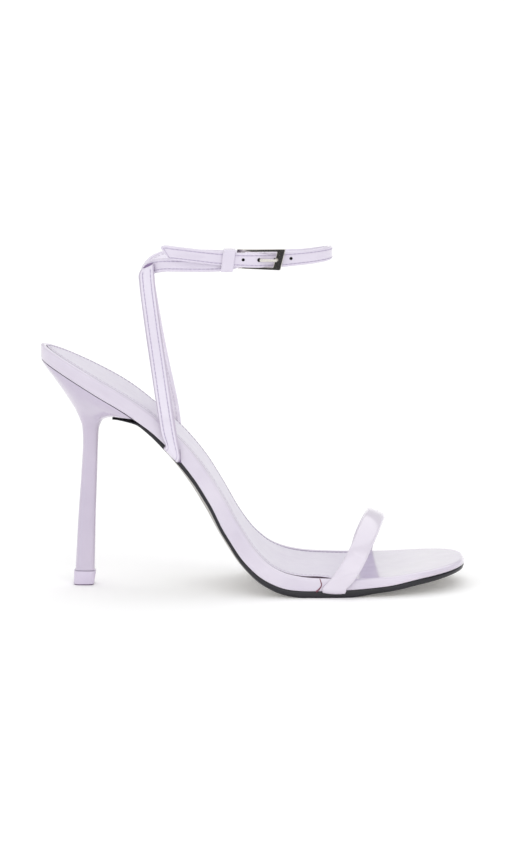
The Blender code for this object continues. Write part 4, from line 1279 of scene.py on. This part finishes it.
def make_hinge_tabs():
    """The two tabs of the short strap that fold round the hinge bar on either side of the prong."""
    middle, across = loop_strap(BUCKLE_STRAP, HINGE_ANGLE - LOOP_STEP * np.array((1, 0)))
    half_width = np.linalg.norm(across[-1])
    tab = (half_width - HINGE_SLOT_HEIGHT / 2) / 2
    turn = np.linspace(0, math.pi, HINGE_FOLD_STEPS)
    around = np.column_stack((np.sin(turn), -np.cos(turn), np.zeros_like(turn))) * HINGE_INWARD
    for name, side in (("lower", -1), ("upper", 1)):
        middles = hinge_centre() + around
        middles[:, 2] = middle[-1, 2] + side * (half_width - tab)
        middles = np.vstack((middles[:1] - (HINGE_TAB_LEAD, 0.0, 0.0), middles))
        path = Path(middles, np.tile(UP * tab, (len(middles), 1)), flip=True)
        add_strap(f"hinge_tab_{name}", path, STRAP_THICKNESS, STRAP_EDGE_ROUND, 0.0, PLAIN_STRAP)


def hole_places():
    """Middles and radii of the holes along the long strap."""
    angles = np.linspace(*HOLE_SEARCH)
    middles, _ = loop_strap(LONG_STRAP, angles)
    runs = run(middles)
    steps = np.arange(-HOLES_AHEAD, 2)
    places = sampled(np.interp(PRONG_HOLE_ANGLE, angles, runs) + HOLE_PITCH * steps, runs, middles)
    places[:, 2] = np.where(steps == 0, PRONG_HEIGHT, places[:, 2] + HOLE_RAISE)
    return places, np.where(steps == 0, PRONG_HOLE_RADIUS, HOLE_RADIUS)


def cut_holes(strap, places, radii):
    """Round holes through a strap, along Y at the given places."""
    shape = bmesh.new()
    for place, radius in zip(places, radii):
        bmesh.ops.create_cone(
            shape,
            cap_ends=True,
            segments=HOLE_SIDES,
            radius1=radius * MM,
            radius2=radius * MM,
            depth=3 * STRAP_THICKNESS * MM,
            matrix=Matrix.Translation(Vector(place) * MM) @ Matrix.Rotation(math.pi / 2, 4, "X"),
        )
    mesh = bpy.data.meshes.new("strap_holes")
    shape.to_mesh(mesh)
    shape.free()
    cutter = linked("strap_holes", mesh)
    modifier = strap.modifiers.new("holes", "BOOLEAN")
    modifier.operation = "DIFFERENCE"
    modifier.object = cutter
    made = evaluated_mesh(strap)
    strap.modifiers.clear()
    strap.data = made
    made.set_sharp_from_angle(angle=math.radians(SHARP_DEGREES))
    bpy.data.objects.remove(cutter, do_unlink=True)


def make_hole_floors(places, radii):
    """Dark plugs of painted shade that close each punched hole halfway through the strap."""
    turn = np.linspace(0, 2 * math.pi, HOLE_SIDES, endpoint=False)
    circle = np.column_stack((np.cos(turn), np.zeros(HOLE_SIDES), np.sin(turn)))
    points = []
    faces = []
    for place, radius in zip(places, radii):
        rings = [place + circle * (radius + HOLE_FLOOR_SPARE) * share + (0, y, 0) for y, share in HOLE_FLOOR]
        index = numbered(rings, len(points) * HOLE_SIDES)
        points.extend(rings)
        faces += grid_faces(index, around=True) + [index[1].tolist()]
    add_piece("hole_shade_plugs", np.vstack(points), faces, ("hole_painted_shade",))


def make_riser_openings(line, path):
    """Dark tubes of painted shadow in the gap over the end of the lateral riser and in the slit where it
    enters the rim.
    """
    shares = np.linspace(*RISER_GAP_SPAN, RIM_SEAM_STEPS)
    points = path.middles[-1] + np.outer(shares, path.across[-1]) + path.direction[-1] * RISER_GAP_RISE
    points = points + path.normal[-1] * RISER_GAP_OUT
    fullness = np.sin(np.linspace(RISER_GAP_START, math.pi - RISER_GAP_START, RIM_SEAM_STEPS))
    tube("riser_gap_shadow", points, RISER_GAP_RADIUS * fullness, "opening_painted_shadow")
    radii = np.linspace(*RISER_SLIT_RADII, RIM_SEAM_STEPS)
    tube("riser_slit_shadow", rim_course(line, RISER_SLIT, "lateral"), radii, "opening_painted_shadow")


def make_ankle_straps(line):
    """Risers, short strap with its hinge tabs, long strap with holes, and their stitches."""
    paths = {"long_strap": long_strap_path(), "buckle_strap": buckle_strap_path()}
    for side in SIDES:
        paths[f"riser_{side}"] = riser_path(line, side)
    outside = []
    inside = []
    made = {}
    for name, path in paths.items():
        riser = name.startswith("riser")
        at = STITCH_INSETS[name]
        # Risers take a lighter copy of the patent as painted light.
        patent = "patent_riser_painted_light" if riser else "patent_strap"
        # The lateral riser's edges are darker, partly edge paint and partly painted shade along its side.
        edge = "strap_edge" if name == "riser_lateral" else patent
        finishes = (patent, "strap_lining", "stitch_shade", edge)
        made[name] = add_strap(
            name, path, STRAP_THICKNESS, STRAP_EDGE_ROUND, STRAP_CROWN, finishes, ("ankle_straps",),
            stitched_at=at, end_seam=not riser,
        )
        fold = RISER_TUCK + math.pi / 2 * FOLD_RADIUS
        pair = strap_stitches(path, at, fold + RISER_STITCH_START if riser else LOOP_STITCH_START)
        outside += pair[0]
        inside += pair[1]
        if not riser:
            outside += end_stitches(path, at)
    make_hinge_tabs()
    stitch_lines("strap_stitches", outside, "strap_thread")
    stitch_lines("strap_stitches_inside", inside, "lining_thread")
    make_riser_openings(line, paths["riser_lateral"])
    places, radii = hole_places()
    cut_holes(made["long_strap"], places, radii)
    make_hole_floors(places, radii)


# Keeper and buckle


def rounded(corners, radius, side_steps=0):
    """A closed outline with its corners rounded and points along its sides, in a plane."""
    corners = np.array(corners, float)
    t = np.linspace(0, 1, CORNER_STEPS)[:, None]
    shares = np.linspace(0, 1, side_steps + 2)[1:-1, None]
    points = []
    for i, corner in enumerate(corners):
        following = corners[(i + 1) % len(corners)]
        onward = unit(following - corner) * radius
        start = corner + unit(corners[i - 1] - corner) * radius
        end = corner + onward
        points.append(start * (1 - t) ** 2 + corner * 2 * t * (1 - t) + end * t * t)
        points.append(end + (following - onward - end) * shares)
    return np.vstack(points)


def make_keeper():
    """Loop round both straps behind the buckle."""
    low_y, high_y = KEEPER_Y
    low_z, high_z = KEEPER_Z
    corners = ((low_y, low_z), (high_y, low_z), (high_y, high_z), (low_y, high_z))
    outline = rounded(corners, KEEPER_CORNER)
    tilted = KEEPER_X + KEEPER_TILT * (outline[:, 1] - (low_z + high_z) / 2)
    middles = np.column_stack((tilted, outline))
    path = Path(middles, np.tile((KEEPER_WIDTH / 2, 0.0, 0.0), (len(middles), 1)))
    path.direction = unit(np.roll(middles, -1, axis=0) - np.roll(middles, 1, axis=0))
    path.normal = unit(np.cross(path.direction, path.across))
    if np.sum((middles - middles.mean(axis=0)) * path.normal) < 0:
        path.normal = -path.normal
    add_strap(
        "keeper_loop", path, KEEPER_THICKNESS, KEEPER_EDGE_ROUND, KEEPER_CROWN, PLAIN_STRAP,
        ("strap_keeper",), closed=True,
    )


def frame_rise(along):
    """Height of the bent frame over the plane of its hinge bar."""
    return FRAME_BEND * (FRAME_BEND_FROM**2 - np.maximum(FRAME_BEND_FROM - along, 0) ** 2)


def make_frame():
    """Polished frame with a slanted front bar, its side bars bent towards the hinge bar."""
    corners = (FRAME_OUTER, FRAME_INNER)
    outer, inner = (rounded(four, FRAME_CORNER, FRAME_SIDE_STEPS) for four in corners)
    inward = unit(inner - outer)
    edge = [(1 - cosine, sine - 1) for sine, cosine in quarter(FRAME_EDGE_STEPS)] + [(FRAME_FACE_START, 0)]
    rings = []
    for outline, towards, face, profile in (
        (outer, inward, 1, edge),
        (inner, -inward, 1, edge[::-1]),
        (inner, -inward, -1, edge),
        (outer, inward, -1, edge[::-1]),
    ):
        for away, up in profile:
            flat = outline + towards * away * FRAME_EDGE_ROUND
            height = face * (FRAME_THICKNESS / 2 + up * FRAME_EDGE_ROUND)
            rings.append(np.column_stack((flat, frame_rise(flat[:, 0]) + height)))
    along = np.array((math.cos(FRAME_TURN), -math.sin(FRAME_TURN), 0.0))
    points = hinge_centre() + np.vstack(rings) @ np.array((along, UP, np.cross(along, UP)))
    index = numbered(rings)
    faces = grid_faces(np.vstack((index, index[:1])), around=True)
    add_piece("polished_frame", points, faces, ("polished_silver",), ("buckle_frame",))


def make_prong():
    """Prong: hooked round the hinge bar, through the strap's hole and on to the front bar."""
    hinge = hinge_centre()
    points = []
    for turn in np.linspace(math.pi / 2, 3 * math.pi / 2, HINGE_FOLD_STEPS):
        points.append(hinge + np.array((math.cos(turn), math.sin(turn), 0)) * PRONG_HOOK_RADIUS)
    clear = STRAP_THICKNESS / 2 + SEAM + PRONG_RADIUS
    outward = LONG_STRAP.at("outward", PRONG_HOLE_ANGLE)
    for offset in (-clear, clear):
        place = loop_points(np.array([PRONG_HOLE_ANGLE]), PRONG_HEIGHT, outward + offset)[0]
        points.append(place + (PRONG_FORWARD, 0, 0))
    along = (PRONG_TIP_X - hinge[0]) / math.cos(FRAME_TURN)
    lift = FRAME_THICKNESS / 2 + SEAM + PRONG_RADIUS + frame_rise(along)
    points.append((PRONG_TIP_X, hinge[1] - along * math.sin(FRAME_TURN) - lift, PRONG_HEIGHT))
    radii = np.full(len(points), PRONG_RADIUS)
    radii[-1] *= PRONG_TIP_SHARE
    tube("polished_prong", points, radii, "polished_silver", ("buckle_prong",))


# Materials


def linear(colour):
    """A colour from 0 to 255 as linear light with full cover, by the sRGB curve."""
    return (*[((value / 255 + 0.055) / 1.055) ** 2.4 for value in colour], 1.0)


def add_node(tree, kind, inputs):
    """A node whose inputs hold values or are linked to other nodes' outputs."""
    node = tree.nodes.new(kind)
    for name, value in inputs.items():
        if isinstance(value, bpy.types.NodeSocket):
            tree.links.new(value, node.inputs[name])
        else:
            node.inputs[name].default_value = value
    return node


class Surface:
    """A Principled material with helpers for noise in object space."""

    def __init__(self, name, roughness, metallic=0.0):
        self.material = bpy.data.materials.new(name)
        self.material.use_nodes = True
        self.tree = self.material.node_tree
        self.shader = self.tree.nodes["Principled BSDF"]
        self.shader.inputs["Roughness"].default_value = roughness
        self.shader.inputs["Metallic"].default_value = metallic
        self.place = self.tree.nodes.new("ShaderNodeTexCoord").outputs["Object"]

    def noise(self, feature, detail=3.0, stretch=(1, 1, 1)):
        """Noise with features of a size in millimetres."""
        place = add_node(self.tree, "ShaderNodeMapping", {"Vector": self.place, "Scale": stretch})
        inputs = {"Vector": place.outputs["Vector"], "Scale": 1 / (feature * MM), "Detail": detail}
        return add_node(self.tree, "ShaderNodeTexNoise", inputs).outputs["Fac"]

    def colours(self, fac, *colours):
        """Base colour between two colours by a noise."""
        ramp = add_node(self.tree, "ShaderNodeValToRGB", {"Fac": fac})
        for element, position, colour in zip(ramp.color_ramp.elements, NOISE_SPAN, colours):
            element.position = position
            element.color = linear(colour)
        self.tree.links.new(ramp.outputs["Color"], self.shader.inputs["Base Color"])

    def roughness(self, fac, low, high):
        """Roughness between two values by a noise."""
        start, end = NOISE_SPAN
        inputs = {"Value": fac, "From Min": start, "From Max": end, "To Min": low, "To Max": high}
        spread = add_node(self.tree, "ShaderNodeMapRange", inputs)
        self.tree.links.new(spread.outputs["Result"], self.shader.inputs["Roughness"])

    def bumps(self, *layers):
        """Surface relief from (noise, height in millimetres) layers."""
        below = {}
        for fac, height in layers:
            bump = add_node(self.tree, "ShaderNodeBump", {"Distance": height * MM, "Height": fac, **below})
            below = {"Normal": bump.outputs["Normal"]}
        self.tree.links.new(below["Normal"], self.shader.inputs["Normal"])


def patent(name, light, deep, gloss):
    """Patent leather: even colour under a clear gloss that wavers slightly."""
    made = Surface(name, gloss)
    made.colours(made.noise(PATENT_CLOUDS), deep, light)
    made.roughness(made.noise(PATENT_GLOSS_CLOUDS), *(gloss * share for share in PATENT_GLOSS_SPREAD))
    made.bumps(*((made.noise(size, detail=2), height) for size, height in (PATENT_WAVES, PATENT_PORES)))
    made.shader.inputs["Coat Weight"].default_value = PATENT_COAT
    made.shader.inputs["Coat Roughness"].default_value = PATENT_COAT_ROUGHNESS
    return made.material


def leather(name, light, deep, rough, grain):
    """Plain leather with a fine grain."""
    made = Surface(name, rough)
    made.colours(made.noise(LEATHER_CLOUDS, detail=5), deep, light)
    made.roughness(made.noise(LEATHER_ROUGH_CLOUDS), *(rough * share for share in LEATHER_SPREAD))
    made.bumps((made.noise(grain, detail=4), GRAIN_HEIGHT))
    return made.material


def polished_metal(name):
    """Silver, brushed slightly along one way."""
    made = Surface(name, SILVER_BASE_ROUGHNESS, metallic=1.0)
    made.colours(made.noise(SILVER_CLOUDS), SILVER_DEEP, SILVER)
    made.roughness(made.noise(SILVER_BRUSH_MARKS, detail=4, stretch=SILVER_BRUSHING), *SILVER_ROUGHNESS)
    return made.material


def sewing_thread(name, colour):
    """Matt thread with a fine twist."""
    size, height = THREAD_TWIST
    made = Surface(name, THREAD_ROUGHNESS)
    made.colours(made.noise(THREAD_CLOUDS), [value - THREAD_DEEPER for value in colour], colour)
    made.bumps((made.noise(size, detail=2), height))
    return made.material


def make_finishes():
    for maker, rows in ((patent, PATENTS), (leather, LEATHERS), (sewing_thread, THREADS)):
        for name, *looks in rows:
            FINISH[name] = maker(name, *looks)
    FINISH["polished_silver"] = polished_metal("polished_silver")


# Stage


def make_floor():
    """Pale floor, and the flag that lies on it out of the picture."""
    bpy.ops.mesh.primitive_plane_add(size=FLOOR_SIZE)
    floor = bpy.context.object
    floor.name = "studio_floor"
    made = Surface("studio_floor", FLOOR_ROUGHNESS)
    made.shader.inputs["Base Color"].default_value = FLOOR_COLOUR
    made.shader.inputs["Specular IOR Level"].default_value = FLOOR_SPECULAR
    made.shader.inputs["Emission Color"].default_value = (1, 1, 1, 1)
    made.shader.inputs["Emission Strength"].default_value = FLOOR_GLOW
    floor.data.materials.append(made.material)

    bpy.ops.mesh.primitive_plane_add(size=1, location=FLAG_PLACE)
    flag = bpy.context.object
    flag.name = "studio_flag"
    flag.scale = FLAG_SCALE
    flag.data.materials.append(FINISH["flag_cloth"])


def make_light():
    """Soft studio light: a surround that changes with height, and wide lamps."""
    world = bpy.data.worlds.new("studio")
    bpy.context.scene.world = world
    world.use_nodes = True
    tree = world.node_tree
    place = tree.nodes.new("ShaderNodeTexCoord").outputs["Generated"]
    split = add_node(tree, "ShaderNodeSeparateXYZ", {"Vector": place})
    ramp = add_node(tree, "ShaderNodeValToRGB", {"Fac": split.outputs["Z"]})
    elements = ramp.color_ramp.elements
    while len(elements) < len(STUDIO_STOPS):
        elements.new(0.5)
    for element, (position, value) in zip(elements, STUDIO_STOPS):
        element.position = position
        element.color = (value, value, value, 1)
    background = tree.nodes["Background"]
    tree.links.new(ramp.outputs["Color"], background.inputs["Color"])
    background.inputs["Strength"].default_value = STUDIO_STRENGTH
    for name, at, power, spread in LAMPS:
        light = bpy.data.lights.new(name, "SUN")
        light.energy = power
        light.angle = math.radians(spread)
        lamp = linked(name, light)
        lamp.location = at
        lamp.rotation_euler = (-Vector(at)).to_track_quat("-Z", "Y").to_euler()


def make_camera():
    """Camera at the photograph's angle."""
    camera = bpy.data.cameras.new("photo_camera")
    camera.sensor_width = SENSOR
    camera.lens = SENSOR * CAMERA_DISTANCE / (IMAGE_HEIGHT * PIXEL * MM)
    camera.clip_end = CAMERA_REACH
    eye = linked("photo_camera", camera)
    back = Vector((0, -math.cos(CAMERA_ELEVATION), math.sin(CAMERA_ELEVATION)))
    eye.location = Vector(CAMERA_TARGET) * MM + back * CAMERA_DISTANCE
    eye.rotation_euler = (-back).to_track_quat("-Z", "Y").to_euler()
    bpy.context.scene.camera = eye
    bpy.context.scene.view_settings.view_transform = "Standard"


def main():
    make_finishes()
    line = footbed_line()
    toe_run = line.along[-1] - line.reach(1 - TOE_ROUND_SHARE)
    stations = line.stations(line.reach(HEEL_ROUND_SHARE), toe_run)
    make_board(line, stations)
    make_sock(line, stations)
    sock_stitches(line, stations)
    make_rim_seams(line)
    make_sole(line, toe_run)
    make_heel(line)
    make_lift()
    make_toe_strap(line)
    make_ankle_straps(line)
    make_keeper()
    make_frame()
    make_prong()
    make_floor()
    make_light()
    make_camera()


main()
